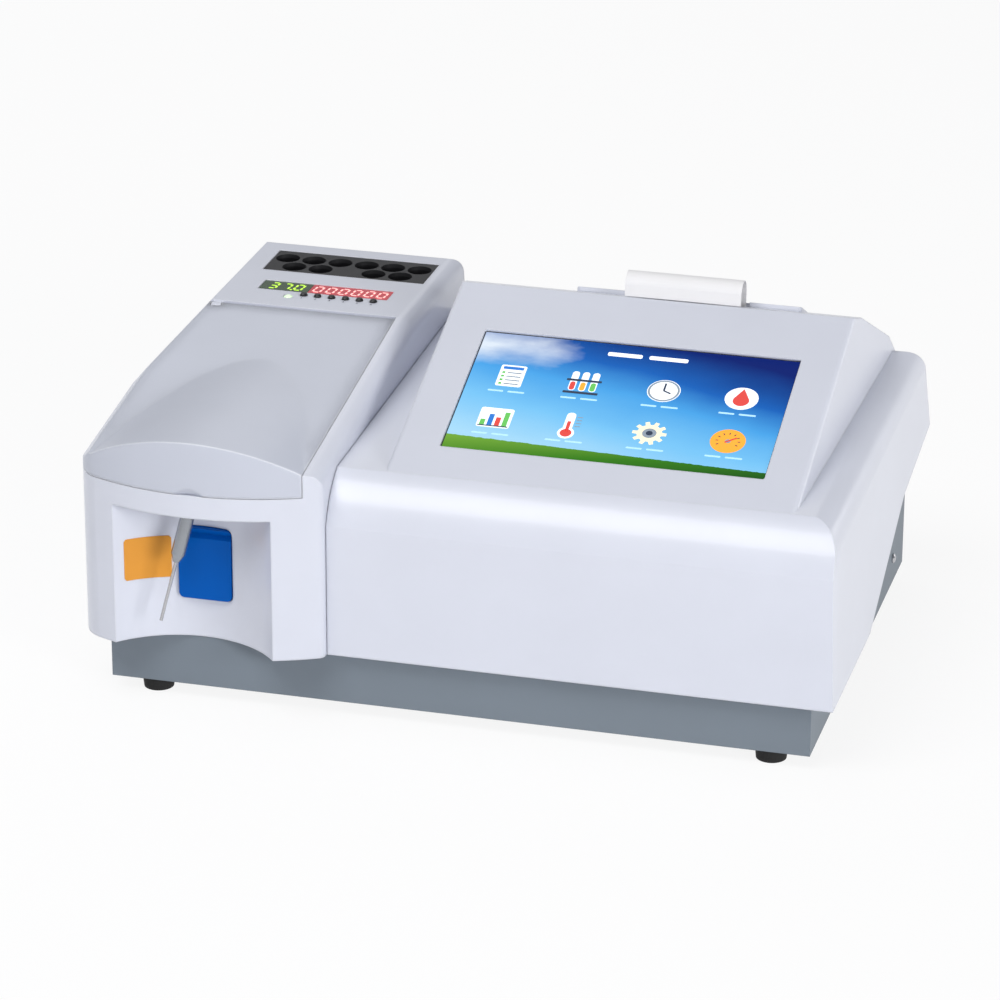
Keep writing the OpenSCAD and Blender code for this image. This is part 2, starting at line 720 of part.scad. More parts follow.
module rear_panel() color(steel_grey) difference() {
    block([-tray_x + sheet + run, panel_y - sheet, floor_z], [tray_x - sheet - run, panel_y, panel_z1]);
    translate([fan_x, 0, fan_z]) rod_y(panel_y - 5, panel_y + 5, fan_w / 2 - 3);
    for (sx = [-1, 1], sz = [-1, 1])
        translate([fan_x + sx * (fan_w / 2 - 5), 0, fan_z + sz * (fan_w / 2 - 5)])
        rod_y(panel_y - 5, panel_y + 5, 2);
    translate([inlet_x, panel_y, fitting_z]) rotate([90, 0, 0])
        translate([0, 0, -5]) plate(inlet_w + 2 * run, inlet_h + 2 * run, 10, 2);
    translate([switch_x, panel_y, fitting_z]) rotate([90, 0, 0])
        translate([0, 0, -5]) plate(switch_w + 2 * run, switch_h + 2 * run, 10, 0.8);
    translate([data_x, panel_y, fitting_z]) rotate([90, 0, 0])
        translate([0, 0, -5]) plate(data_w + 2 * run, data_h + 2 * run, 10, 1);
    translate([pump_x - pump_tube_r, 0, fitting_z - 6]) rod_y(panel_y - 5, panel_y + 5, 4.2);
    for (p = panel_screw_at) translate([p[0], 0, p[1]]) rod_y(panel_y - 5, panel_y + 5, 1.6);
}

module rear_screws() color("silver") for (p = panel_screw_at)
    translate([p[0], panel_y, p[1]]) rotate([-90, 0, 0]) pan_screw(2.6, 7);

module fan_frame() color("#202124") translate([fan_x, panel_y - sheet - fan_t, fan_z]) {
    rotate([-90, 0, 0]) difference() {
        plate(fan_w, fan_w, fan_t, 4);
        translate([0, 0, -1]) cylinder(d = fan_w - 4, h = fan_t + 2);
        for (sx = [-1, 1], sy = [-1, 1]) translate([sx, sy, 0] * (fan_w / 2 - 5))
            translate([0, 0, -1]) cylinder(r = 2.1, h = fan_t + 2);
    }
    // Four struts hold the motor cup on the inner side
    rotate([-90, 0, 0]) difference() {
        union() {
            for (a = [45:90:315]) rotate([0, 0, a]) block([11, -1.5, 0], [fan_w / 2 - 1, 1.5, 2]);
            cylinder(r = 12, h = 2);
        }
        translate([0, 0, -1]) cylinder(r = 1.5 + fit, h = 4);
    }
}

module fan_rotor() color("#2a2b2f") translate([fan_x, panel_y - sheet - fan_t, fan_z]) rotate([-90, 0, 0]) {
    translate([0, 0, 0.5]) cylinder(r = 1.5, h = 4);
    translate([0, 0, 2.4]) cylinder(r = 12, h = fan_t - 3.4);
    for (a = [0:360 / 7:359]) rotate([0, 0, a]) translate([11, 0, fan_t / 2 + 0.8]) rotate([38, 0, 0])
        translate([0, -0.7, -6]) cube([fan_w / 2 - 14, 1.4, 12]);
}

// A round wire guard with three rings and a cross
module fan_guard() color("silver") translate([fan_x, panel_y + 1, fan_z]) rotate([-90, 0, 0]) {
    for (r = [9, 17, fan_w / 2 - 5]) rotate_extrude() translate([r, 0]) circle(0.9, $fn = 16);
    for (a = [45, 135]) rotate([0, 0, a]) translate([-fan_w / 2 * sqrt(2) + 7, 0, 0])
        rod_x(0, fan_w * sqrt(2) - 14, 0.9);
    for (sx = [-1, 1], sy = [-1, 1]) translate([sx, sy, 0] * (fan_w / 2 - 5)) difference() {
        translate([0, 0, -1]) cylinder(r = 3.4, h = 1.8);
        translate([0, 0, -2]) cylinder(r = 2, h = 4);
    }
}

// Mains inlet: a shroud around three flat pins
inlet_w = 27;
inlet_h = 20;
inlet_pins = [[-7, 1], [7, 1], [0, -3]];
module power_inlet() color("#18181a") translate([inlet_x, panel_y, fitting_z]) rotate([-90, 0, 0]) {
    difference() {
        union() {
            translate([0, 0, -22]) plate(inlet_w, inlet_h, 22, 1.6);
            plate(inlet_w + 21, inlet_h + 2.5, 2.2, 3);
        }
        translate([0, 0, -15]) plate(inlet_w - 2.6, inlet_h - 3.6, 20, 3);
        both_sides(20) translate([0, 0, -1]) cylinder(r = 1.7, h = 5);
    }
    for (p = inlet_pins) translate([p[0], p[1], 0]) block([-1, -2, -15.5], [1, 2, -4]);
}

// Mains switch: a frame with a seat, and a rocker on a cross pin
switch_w = 13;
switch_h = 19;
rocker_tilt = 8;
module power_switch() color("#1b1b1d") translate([switch_x, panel_y, fitting_z]) rotate([-90, 0, 0])
    difference() {
        union() {
            translate([0, 0, -14]) plate(switch_w, switch_h, 14, 0.8);
            plate(switch_w + 2, switch_h + 2, 1.8, 1);
        }
        translate([0, 0, -10]) plate(switch_w - 2.6, switch_h - 2.6, 20, 0.6);
        translate([0, 0, -0.6]) rod_x(-switch_w / 2 + 0.5, switch_w / 2 - 0.5, 1 + fit);
    }

module switch_rocker() color("#2b2b2e") translate([switch_x, panel_y, fitting_z]) rotate([-90, 0, 0])
    translate([0, 0, -0.6]) rotate([rocker_tilt, 0, 0]) {
        across(-switch_w / 2 + 1.7, switch_w / 2 - 1.7) polygon([[-7, 3.4], [-7, 0.4], [-2.5, -7], [2.5, -7],
            [7, 0.4], [7, 3.4], [0, 2.2]]);
        rod_x(-switch_w / 2 + 0.7, switch_w / 2 - 0.7, 1);
    }

// Data port: a shell around nine pins in two rows
data_w = 31;
data_h = 12.5;
module data_port() color("#30343a") translate([data_x, panel_y, fitting_z]) rotate([-90, 0, 0]) {
    difference() {
        union() {
            translate([0, 0, -9]) plate(data_w, data_h, 9, 1);
            plate(36, 16, 1.2, 1);
            plate(17.6, 8.6, 6, 2.6);
        }
        translate([0, 0, 0.6]) plate(16, 7, 8, 2.4);
    }
    for (row = [0, 1], i = [0:4 - row]) translate([(i - 2 + row / 2) * 2.77, (row - 0.5) * 2.84, 0.2])
        cylinder(r = 0.5, h = 4.8, $fn = 12);
}

module waste_port() color("#c9ccd4") translate([pump_x - pump_tube_r, 0, fitting_z - 6]) difference() {
    union() {
        translate([0, panel_y, 0]) rod_y(0, 3, 6);
        translate([0, panel_y, 0]) rod_y(-12, 8.5, 3.9);
    }
    translate([0, panel_y, 0]) rod_y(-13, 10, 1.4);
    translate([0, panel_y, 0]) rod_y(-13, -5.7, tube_d / 2 + fit);
}

// Key in the recess, its bracket, spring and switch
key_face_y = front_y + recess_in - 3;
key_back_y = key_face_y + 12;
bracket_y = key_back_y + 9;
key_cz = key_z + key_h / 2;

module aspirate_key() color("#0a62c4") translate([pod_cx, key_face_y, key_cz]) rotate([-90, 0, 0]) {
    difference() {
        plate(key_w, key_h, 12, 2.6);
        translate([0, 0, 6]) plate(key_w - 5, key_h - 5, 7, 1.6);
        // Bevel along the top edge
        translate([0, -key_h / 2, 0]) rotate([35, 0, 0]) block([-key_w, -4, -4], [key_w, 4, 0]);
    }
    translate([0, 0, 12 - 1.6]) difference() {
        plate(key_w + 5, key_h + 5, 1.6, 2);
        translate([0, 0, -1]) plate(key_w - 5, key_h - 5, 4, 1.6);
    }
    translate([0, 0, 5]) cylinder(r = 2.2, h = 5);
}

module key_bracket() color("#b9bdc4") difference() {
    union() {
        block([pod_cx - 19, bracket_y, key_z - 4], [pod_cx + 19, bracket_y + 1.2, deck_z + 18]);
        block([pod_cx - 19, bracket_y, deck_z + 16.8], [pod_cx + 19, bracket_y + 1.2, deck_z + 18]);
        both_sides_of_pod(17.8)
            block([-1.2, key_back_y + key_travel + 0.5, key_z + 2], [1.2, bracket_y + 1, key_z + 30]);
    }
    translate([pod_cx, 0, key_cz]) rod_y(bracket_y - 1, bracket_y + 3, 1.2);
}

module both_sides_of_pod(x) for (s = [-1, 1]) translate([pod_cx + s * x, 0, 0]) children();

// Closed coil spring between the key and the bracket
module key_spring() color("silver") {
    turns = 5;
    r = 4;
    wire = 0.45;
    l = bracket_y - (key_face_y + 6) - 2 * wire - 0.2;
    translate([pod_cx, key_face_y + 6 + wire + 0.1, key_cz]) rotate([-90, 0, 0])
        sweep([for (i = [0:turns * 16]) let(a = 360 * i / 16) [r * cos(a), r * sin(a), l * i / turns / 16]],
            wire, 6);
}

module key_switch() color("#26282c") {
    block([pod_cx - 6, bracket_y - 6, key_z + 2], [pod_cx + 6, bracket_y, key_z + 8]);
    block([pod_cx - 1.2, bracket_y - 7.4, key_z + 4], [pod_cx + 1.2, bracket_y - 6, key_z + 6]);
}

// Probe
module probe_holder() color("#8f949c") translate(probe_at) rotate(probe_turn) difference() {
    union() {
        translate([0, 0, -24]) cylinder(d = probe_d, h = 34);
        translate([0, 0, -28]) cylinder(d1 = 3.2, d2 = probe_d, h = 4.01);
        translate([0, 0, wall + 1.9]) cylinder(d = probe_d + 4, h = 2);
    }
    translate([0, 0, -29]) cylinder(r = 0.85, h = 42);
}

module probe_needle() color("silver") translate(probe_at) rotate(probe_turn) difference() {
    translate([0, 0, -needle_l]) cylinder(r = 0.8, h = needle_l + 13);
    translate([0, 0, -needle_l - 1]) cylinder(r = 0.45, h = needle_l + 20);
}

// Tube from the probe over the pump to the flow cell
tube_run_z = optic_z + 28;
module sample_tube() color([0.93, 0.94, 0.9, 0.85]) {
    turn = probe_top(3);
    sweep(bent([probe_top(), turn, [turn[0], turn[1], tube_run_z], [turn[0], optic_y, tube_run_z],
        [turn[0], optic_y, cell_top + 5]], 6), 1.4, 16);
}

// Where the needle ends above the roof
probe_dir = [cos(probe_turn[0]) * sin(probe_turn[1]), -sin(probe_turn[0]),
    cos(probe_turn[0]) * cos(probe_turn[1])];
function probe_top(past = 0.3) = probe_at + (13 + past) * probe_dir;

module pod_chassis() color("#a9aeb6") {
    difference() {
        block([deck_x0, front_y + 14, deck_z - sheet], [deck_x1, panel_y - 8, deck_z]);
        translate([pump_x, pump_y, deck_z - 3]) cylinder(r = 3.4, h = 6);
        translate([pump_x - pump_tube_r, pump_y + 34, deck_z - 3]) cylinder(r = tube_d / 2 + 1, h = 6);
        for (x = post_x) translate([x, plateau_rear_y - 4, deck_z - 3])
            cylinder(r = 5, h = 6);
        block([pod_cx - 20, front_y, deck_z - 4], [pod_cx + 20, bracket_y + 1.2 + run, deck_z + 1]);
    }
    for (x = [deck_x0 + 5, deck_x1 - 8], y = [front_y + 36, front_y + 200])
        translate([x, y, floor_z]) cylinder(r = 3.5, h = deck_z - sheet - floor_z);
}

// Incubator
module wells(r, z0, h) for (p = well_at) translate([p[0], p[1], z0]) cylinder(r = r, h = h);

module incubator_plate() color("#4b4b4e") difference() {
    translate([plate_x, plate_y + plate_d / 2, block_top]) plate(plate_w, plate_d, plate_t, 0.5);
    wells(well_d / 2, block_top - 1, plate_t + 2);
}

module incubator_block() color("#b4b8be") difference() {
    translate([plate_x, plate_y + plate_d / 2, block_top - block_h])
        plate(plate_w - 1, plate_d - 1, block_h, 1);
    wells(well_d / 2, block_top - block_h - 1, block_h + 2);
}

// The heated plate closes the wells from below
module heater_pad() color("#c2571f")
    translate([plate_x, plate_y + plate_d / 2, block_top - block_h - heater_t])
        plate(plate_w - 1, plate_d - 1, heater_t, 1);

module block_bracket() color("#a9aeb6") {
    top = block_top - block_h - heater_t;
    half = plate_w / 2 - 2;
    block([plate_x - half, plate_y + 2, top - sheet], [plate_x + half, plate_y + plate_d - 2, top]);
    for (s = [-1, 1]) translate([plate_x + s * (half - sheet / 2), 0, 0])
        block([-sheet / 2, plate_y + 2, deck_z], [sheet / 2, plate_y + plate_d - 2, top]);
}

// Displays, indicator and buttons on the plateau
module temp_display() color("#46503f") translate([display_x0 + temp_w / 2, display_y, board_z + 0.2])
    plate(temp_w - 0.2, display_d, plate_top - board_z - 0.2, 0.4);

module timer_display() color("#7a2a2c")
    translate([display_x0 + temp_w + timer_w / 2, display_y, board_z + 0.2])
        plate(timer_w - 0.2, display_d, plate_top - board_z - 0.2, 0.4);

module timer_indicator() color("#e9f7dc") translate([button_x0 - 7, button_y - 3.5, board_z + 0.2]) {
    cylinder(r = 2.3, h = plateau_z - board_z - 0.6);
    translate([0, 0, plateau_z - board_z - 0.6]) intersection() {
        translate([0, 0, -1.6]) sphere(2.8);
        cylinder(r = 2.3, h = 3);
    }
}

module timer_button(i) color("#19191b") translate([button_x0 + i * button_pitch, button_y, 0]) {
    foot_z = board_z + button_travel + 0.2;
    translate([0, 0, foot_z]) cylinder(d = button_d, h = plateau_z + 0.6 - foot_z);
    translate([0, 0, plateau_z + 0.6]) cylinder(d1 = button_d, d2 = button_d - 1, h = 0.6);
    translate([0, 0, button_flange_z - 1]) cylinder(d = button_d + 1.6, h = 1);
}

module timer_board() color("#1f6b45") {
    block([plate_x - 41, button_y - 8, board_z - sheet], [plate_x + 36, display_y + 12.5, board_z]);
    for (x = [plate_x - 36, plate_x + 31]) translate([x, display_y + 9.4, board_z])
        cylinder(r = 2, h = plateau_z - wall - board_z);
}

// Optical parts on the deck
module lamp_housing() color("#9aa0a8") {
    x0 = wheel_x + 8;
    difference() {
        union() {
            block([x0, optic_y - 13, deck_z], [x0 + 26, optic_y + 7, optic_z + 12]);
            for (i = [0:5]) translate([x0 + 3.4 + i * 3.8, 0, 0])
                block([-0.7, optic_y - 15, deck_z + 8], [0.7, optic_y + 7, optic_z + 16]);
        }
        translate([0, optic_y, optic_z]) rod_x(x0 - 1, x0 + 16, 4);
    }
}

module filter_wheel() color("#2d2f33") translate([wheel_x, wheel_y, optic_z]) rotate([0, 90, 0]) {
    difference() {
        union() {
            cylinder(r = wheel_r, h = 4);
            cylinder(r = 5, h = 7);
        }
        for (a = [0:45:315]) rotate([0, 0, a]) translate([0, -filter_ring, -1]) cylinder(r = 4, h = 6);
        translate([0, 0, -1]) cylinder(r = 1.5, h = 7);
        translate([wheel_r, 0, -1]) cylinder(r = 1.6, h = 6);
    }
    // Filters in their seats
    for (a = [0:45:315]) rotate([0, 0, a]) translate([0, -filter_ring, 1]) cylinder(r = 4, h = 2);
    cylinder(r = 1.5, h = 14);
}

module wheel_motor() color("#8b9098") {
    x0 = wheel_x + 8;
    translate([0, wheel_y, optic_z]) difference() {
        rod_x(x0, x0 + 20, 8.5);
        rod_x(x0 - 1, x0 + 8, 1.5 + fit);
    }
    block([x0 + 1, wheel_y - 7, deck_z], [x0 + 4, wheel_y + 7, optic_z - 5]);
}

cell_top = optic_z + 11;
module flow_cell() color("#3a3d42") difference() {
    union() {
        block([cell_x0, optic_y - 12, deck_z], [cell_x0 + cell_w, optic_y + 8, cell_top]);
        translate([probe_top(3)[0], optic_y, cell_top]) cylinder(r = 3.2, h = 4.8);
        translate([pump_x + pump_tube_r, 0, pump_tube_z]) rod_y(optic_y - 15, optic_y - 11, 3);
    }
    translate([0, optic_y, optic_z]) rod_x(cell_x0 - 1, cell_x0 + cell_w + 1, 2.5);
    translate([probe_top(3)[0], optic_y, cell_top - 6]) cylinder(r = 0.9, h = 20);
}

module detector() color("#5d636b") {
    x1 = cell_x0 - 1.5;
    difference() {
        block([x1 - 17, optic_y - 9, deck_z], [x1, optic_y + 7, optic_z + 9]);
        translate([0, optic_y, optic_z]) rod_x(x1 - 12, x1 + 1, 2.5);
    }
    for (y = [-5, 3]) block([x1 - 15, optic_y + y, optic_z + 9], [x1 - 2, optic_y + y + 1.2, optic_z + 12]);
}

// Peristaltic pump: a race with a rotor, three rollers and a tube
module pump_body() color("#e4e6ea") translate([pump_x, pump_y, deck_z]) {
    difference() {
        translate([0, 0, 0]) plate(50, 50, 5, 6);
        translate([0, 0, -1]) cylinder(r = 3.2, h = 8);
    }
    intersection() {
        difference() {
            cylinder(r = race_r + 3, h = 20);
            translate([0, 0, 5]) cylinder(r = race_r, h = 20);
            translate([0, 0, -1]) cylinder(r = 3.2, h = 8);
        }
        translate([-40, -40, 0]) cube([80, 42, 30]);
    }
}

rotor_z = 5.6;
module pump_rotor() color("#3c4046") translate([pump_x, pump_y, deck_z]) {
    translate([0, 0, rotor_z]) cylinder(r = orbit_r + 1.6, h = 2);
    translate([0, 0, rotor_z + 11.2]) difference() {
        cylinder(r = orbit_r + 1.6, h = 2);
        for (a = [60, 180, 300]) rotate([0, 0, a]) translate([orbit_r + 1.6, 0, -1]) cylinder(r = 3, h = 4);
    }
    translate([0, 0, -10]) cylinder(r = 2, h = rotor_z + 13);
    translate([0, 0, rotor_z + 1]) cylinder(r = 4.6, h = 11);
    for (a = [0, 120, 240]) rotate([0, 0, a]) translate([orbit_r, 0, rotor_z + 1]) cylinder(r = 1.2, h = 11);
    translate([0, 0, rotor_z + 13.2]) cylinder(r1 = 4, r2 = 3.2, h = 3);
}

module pump_roller(i) color("#e8e4d8") translate([pump_x, pump_y, deck_z + rotor_z + 2.3])
    rotate([0, 0, 120 * i]) translate([orbit_r, 0, 0]) difference() {
        cylinder(r = roller_r, h = 8.6);
        translate([0, 0, -1]) cylinder(r = 1.2 + fit, h = 12);
    }

module pump_motor() color("#70757d") translate([pump_x, pump_y, deck_z - sheet - 30]) difference() {
    union() {
        cylinder(r = 14, h = 30);
        translate([0, 0, -4]) cylinder(r = 7, h = 4);
    }
    translate([0, 0, 18]) cylinder(r = 2 + fit, h = 20);
}

// The pump tube comes from the flow cell, runs round the race and leaves through the deck
module pump_tube() color([0.93, 0.92, 0.86, 0.9]) {
    exit_y = pump_y + 34;
    low_z = fitting_z - 6;
    x = pump_x - pump_tube_r;
    loop = [for (a = [0:-10:-180])
        [pump_x + pump_tube_r * cos(a), pump_y + pump_tube_r * sin(a), pump_tube_z]];
    down = bent([[x, pump_y + 4, pump_tube_z], [x, exit_y, pump_tube_z], [x, exit_y, low_z],
        [x, panel_y - 6.2, low_z]], 8);
    sweep(concat([[pump_x + pump_tube_r, optic_y - 15.2, pump_tube_z]], loop, down), tube_d / 2, 16);
}

// Screen
module touch_glass() color("#1d2b3a") on_screen()
    translate([screen_cx, screen_margin + screen_h / 2, -1.3 - glass_t])
    plate(screen_w + 10, screen_h + 12, glass_t, 1.5);

module lcd_panel() color("#2c3038") on_screen()
    translate([screen_cx, screen_margin + screen_h / 2, -1.5 - glass_t - 6]) {
    plate(screen_w + 9, screen_h + 11, 6, 1);
    translate([0, 0, -3]) plate(screen_w - 20, screen_h - 16, 3, 1);
}

// The power supply stands before the rear panel, the main board on stand-offs before the supply
supply_w = 60;
supply_d = 64;
supply_h = 34;
supply_x0 = tray_x - 18 - supply_w;
supply_y0 = panel_y - 43 - supply_d;
slot_w = 3;
slot_pitch = 6.4;
module power_supply() color("#b9bdc4") translate([supply_x0, supply_y0, floor_z]) difference() {
    block([0, 0, 0], [supply_w, supply_d, supply_h]);
    for (x = [6:slot_pitch:supply_w - 6])
        block([x, 8, supply_h - 4], [x + slot_w, supply_d - 12, supply_h + 2]);
}

mother_w = 130;
mother_d = 90;
stand_h = 9;
module main_board() color("#1f6b45")
    translate([pod_x1 + 24, supply_y0 - 6 - mother_d, floor_z + stand_h]) {
        block([0, 0, 0], [mother_w, mother_d, sheet]);
        for (x = [6, mother_w - 6], y = [6, mother_d - 6]) translate([x, y, -stand_h])
            cylinder(r = 3, h = stand_h);
        block([30, 20, 0], [55, 45, 4]);
        block([mother_w - 50, 12, 0], [mother_w - 34, 60, 3.4]);
        for (i = [0:4]) translate([20 + 18 * i, mother_d - 14, 0]) cylinder(r = 4, h = 12);
    }

// Printer
module printer_frame() color("#3a3d42") on_back() {
    difference() {
        union() {
            both_sides(cheek_x + 2.2) block([-1, 2, roll_w - 14], [1, door_l - 4, -wall - 0.3]);
            // Trough under the roll and the bar that carries the print head
            translate([0, roll_v, roll_w]) intersection() {
                difference() {
                    rod_x(-cheek_x - 1.5, cheek_x + 1.5, roll_outer + 3.6);
                    rod_x(-cheek_x - 2, cheek_x + 2, roll_outer + 2);
                }
                block([-far, -30, -30], [far, 14, -6]);
            }
        }
        translate([0, platen_v, platen_w]) rod_x(-far, far, 2 + fit);
        translate([0, roll_v, roll_w]) rod_x(-far, far, 3 + 0.25);
    }
    // Bar of the print head
    block([-cheek_x - 1.5, 0.5, platen_w - 13], [cheek_x + 1.5, 5.2, platen_w - 1]);
}

module platen_roller() color("#242528") on_back() translate([0, platen_v, platen_w]) {
    rod_x(-paper_w / 2 - 1, paper_w / 2 + 1, platen_r);
    rod_x(-cheek_x - 5, cheek_x + 5, 2);
}

module paper_roll() color("#f6f6f2") on_back() translate([0, roll_v, roll_w]) {
    difference() {
        rod_x(-paper_w / 2, paper_w / 2, roll_outer);
        rod_x(-paper_w, paper_w, 6);
    }
    rod_x(-paper_w / 2 - 1, paper_w / 2 + 1, 6);
    rod_x(-cheek_x - 5, cheek_x + 5, 3);
}

// A point of the rear slope's frame, in the side view
function back_point(v, w) = [back_slope_y + v * cos(back_tilt) + w * sin(back_tilt),
    back_slope_z - v * sin(back_tilt) + w * cos(back_tilt)];

// A band of thickness t along a path in side view
module ribbon(p, t) {
    n = len(p) - 1;
    off = [for (i = [0:n]) let(d = unit_vector(p[min(i + 1, n)] - p[max(i - 1, 0)])) [-d[1], d[0]] * t / 2];
    polygon(concat([for (i = [0:n]) p[i] - off[i]], [for (i = [n:-1:0]) p[i] + off[i]]));
}

// The paper leaves the roll, passes in front of the platen and curls over to the front above the slot
module paper_strip() color("#fbfbf8") {
    t = 0.25;
    roll = back_point(roll_v, roll_w);
    platen = back_point(platen_v, platen_w);
    r1 = roll_outer + run + t / 2;
    r2 = platen_r + run + t / 2;
    d = platen - roll;
    a = atan2(d[1], d[0]) + acos((r1 - r2) / norm(d));
    n = [cos(a), sin(a)];
    curl_r = 6;
    curl = [platen[0] + r2 * n[0] - curl_r, back_slope_z + paper_out - curl_r];
    across(print_x - paper_w / 2, print_x + paper_w / 2) ribbon(concat(
        [roll + r1 * n, platen + r2 * n, curl + [curl_r, curl_r - paper_out]],
        [for (a = [0:12:180]) curl + curl_r * [cos(a), sin(a)]],
        [curl + [-curl_r - 0.6, curl_r - paper_out + 3.4]]), t);
}

module printer_door() color(house_white) on_back() {
    difference() {
        union() {
            translate([0, (door_v0 + door_l) / 2, run]) plate(door_w, door_l - door_v0, 2.4, 2);
            translate([0, door_l, door_hinge_w]) rod_x(-door_w / 2, door_w / 2, door_hinge_r);
        }
        // Slot that the paper leaves through
        block([-paper_w / 2 - 1.5, door_v0 - 1, -1], [paper_w / 2 + 1.5, door_v0 + 3.2, 4]);
    }
    translate([0, door_l, door_hinge_w]) rod_x(-door_w / 2 - 5.3, door_w / 2 + 5.3, 1);
}

base_tray();
rear_panel();
feet();
side_screws();
rear_screws();
main_cover();
pod_cover();
sampling_lid();
lid_hinge_pin();
aspirate_key();
key_spring();
key_switch();
key_bracket();
probe_holder();
probe_needle();
sample_tube();
pod_chassis();
incubator_plate();
incubator_block();
heater_pad();
block_bracket();
temp_display();
timer_display();
timer_indicator();
timer_button(0);  // timer_button_1
timer_button(1);  // timer_button_2
timer_button(2);  // timer_button_3
timer_button(3);  // timer_button_4
timer_button(4);  // timer_button_5
timer_button(5);  // timer_button_6
timer_board();
lamp_housing();
filter_wheel();
wheel_motor();
flow_cell();
detector();
pump_body();
pump_rotor();
pump_roller(0);  // pump_roller_1
pump_roller(1);  // pump_roller_2
pump_roller(2);  // pump_roller_3
pump_motor();
pump_tube();
touch_glass();
lcd_panel();
main_board();
power_supply();
printer_frame();
platen_roller();
paper_roll();
paper_strip();
printer_door();
fan_frame();
fan_rotor();
fan_guard();
power_inlet();
power_switch();
switch_rocker();
data_port();
waste_port();
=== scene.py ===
import math

import bpy
from mathutils import Matrix, Vector

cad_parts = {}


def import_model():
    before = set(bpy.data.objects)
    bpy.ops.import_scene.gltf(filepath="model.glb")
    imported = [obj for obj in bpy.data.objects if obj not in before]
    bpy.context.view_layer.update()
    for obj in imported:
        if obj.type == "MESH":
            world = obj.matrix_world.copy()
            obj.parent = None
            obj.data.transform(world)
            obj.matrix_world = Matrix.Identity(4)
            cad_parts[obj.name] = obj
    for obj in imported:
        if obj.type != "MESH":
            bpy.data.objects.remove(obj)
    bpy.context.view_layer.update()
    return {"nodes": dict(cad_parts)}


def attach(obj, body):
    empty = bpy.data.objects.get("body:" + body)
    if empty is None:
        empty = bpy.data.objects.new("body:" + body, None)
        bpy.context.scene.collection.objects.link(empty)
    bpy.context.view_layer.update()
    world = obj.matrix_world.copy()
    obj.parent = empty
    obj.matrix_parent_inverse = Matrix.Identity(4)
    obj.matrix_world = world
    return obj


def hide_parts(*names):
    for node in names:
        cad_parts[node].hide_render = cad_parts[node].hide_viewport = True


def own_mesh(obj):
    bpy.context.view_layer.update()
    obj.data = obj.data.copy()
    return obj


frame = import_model()
node = frame["nodes"]
MM = 0.001


# Camera
def make_camera():
    """A long lens to the right of the unit, above it, as in the photograph."""
    data = bpy.data.cameras.new("view")
    data.lens = 162.0
    data.sensor_width = 36.0
    data.shift_x = -0.0080
    data.shift_y = -0.0052
    data.clip_end = 60.0
    right = Vector((0.96632, 0.25730, 0.00468))
    up = Vector((-0.10194, 0.36600, 0.92501))
    ahead = Vector((-0.23630, 0.89434, -0.37990))
    spot = Vector((0.51363, -1.95918, 0.90657))
    camera = bpy.data.objects.new("view", data)
    camera.matrix_world = Matrix((
        (right.x, up.x, -ahead.x, spot.x),
        (right.y, up.y, -ahead.y, spot.y),
        (right.z, up.z, -ahead.z, spot.z),
        (0, 0, 0, 1)))
    bpy.context.scene.collection.objects.link(camera)
    bpy.context.scene.camera = camera


make_camera()


# Materials
def srgb(r, g, b):
    """A colour written as 0 to 255 in sRGB, as linear values."""
    def lin(c):
        c = c / 255.0
        return c / 12.92 if c <= 0.04045 else ((c + 0.055) / 1.055) ** 2.4
    return (lin(r), lin(g), lin(b), 1.0)


def shade(c, k):
    return (c[0] * k, c[1] * k, c[2] * k, 1.0)


class Graph:
    """A short way to write the shader nodes of a material or of the world."""

    def __init__(self, owner):
        self.owner = owner
        owner.use_nodes = True
        self.tree = owner.node_tree
        self.tree.nodes.clear()

    def feed(self, n, socket, value):
        """An input gets another node's output or a plain value."""
        if isinstance(value, bpy.types.NodeSocket):
            self.tree.links.new(value, n.inputs[socket])
        else:
            n.inputs[socket].default_value = value

    def add(self, kind, **sets):
        """A node; each name is one of its settings or, with _ for a blank, one of its inputs."""
        n = self.tree.nodes.new("ShaderNode" + kind)
        for key, value in sets.items():
            if hasattr(n, key):
                setattr(n, key, value)
            else:
                self.feed(n, key.replace("_", " "), value)
        return n

    def calc(self, operation, *values, kind="Math"):
        n = self.add(kind, operation=operation)
        for i, value in enumerate(values):
            self.feed(n, i, value)
        return n.outputs["Value"]

    def noise(self, where, scale, detail, rough=0.5):
        n = self.add("TexNoise", Vector=where, Scale=scale, Detail=detail, Roughness=rough)
        return n.outputs["Fac"]

    def ramp(self, source, stops):
        r = self.add("ValToRGB", Fac=source)
        marks = r.color_ramp.elements
        while len(marks) < len(stops):
            marks.new(0.5)
        for mark, (position, colour) in zip(marks, stops):
            mark.position = position
            mark.color = colour
        return r.outputs["Color"]

    def mix(self, share, a, b, blend="MIX"):
        """Two colours; 6, 7 and 2 are the places of the node's colour sockets."""
        n = self.add("Mix", data_type="RGBA", blend_type=blend)
        self.feed(n, 0, share)
        self.feed(n, 6, a)
        self.feed(n, 7, b)
        return n.outputs[2]

    def either(self, share, a, b):
        """Two shaders, mixed by share."""
        n = self.add("MixShader")
        self.feed(n, 0, share)
        self.feed(n, 1, a.outputs[0])
        self.feed(n, 2, b.outputs[0])
        return n

    def finish(self, shader, output="OutputMaterial"):
        self.add(output, Surface=shader.outputs[0])
        return self.owner


DRIFT_SCALE = 25.0
ROUGH_LEAST, ROUGH_MOST = 0.86, 1.14
COAT_ROUGH = 0.12
# The paler colour of the painted highlight along sharp edges
HIGHLIGHT_TINT = srgb(244, 246, 252)


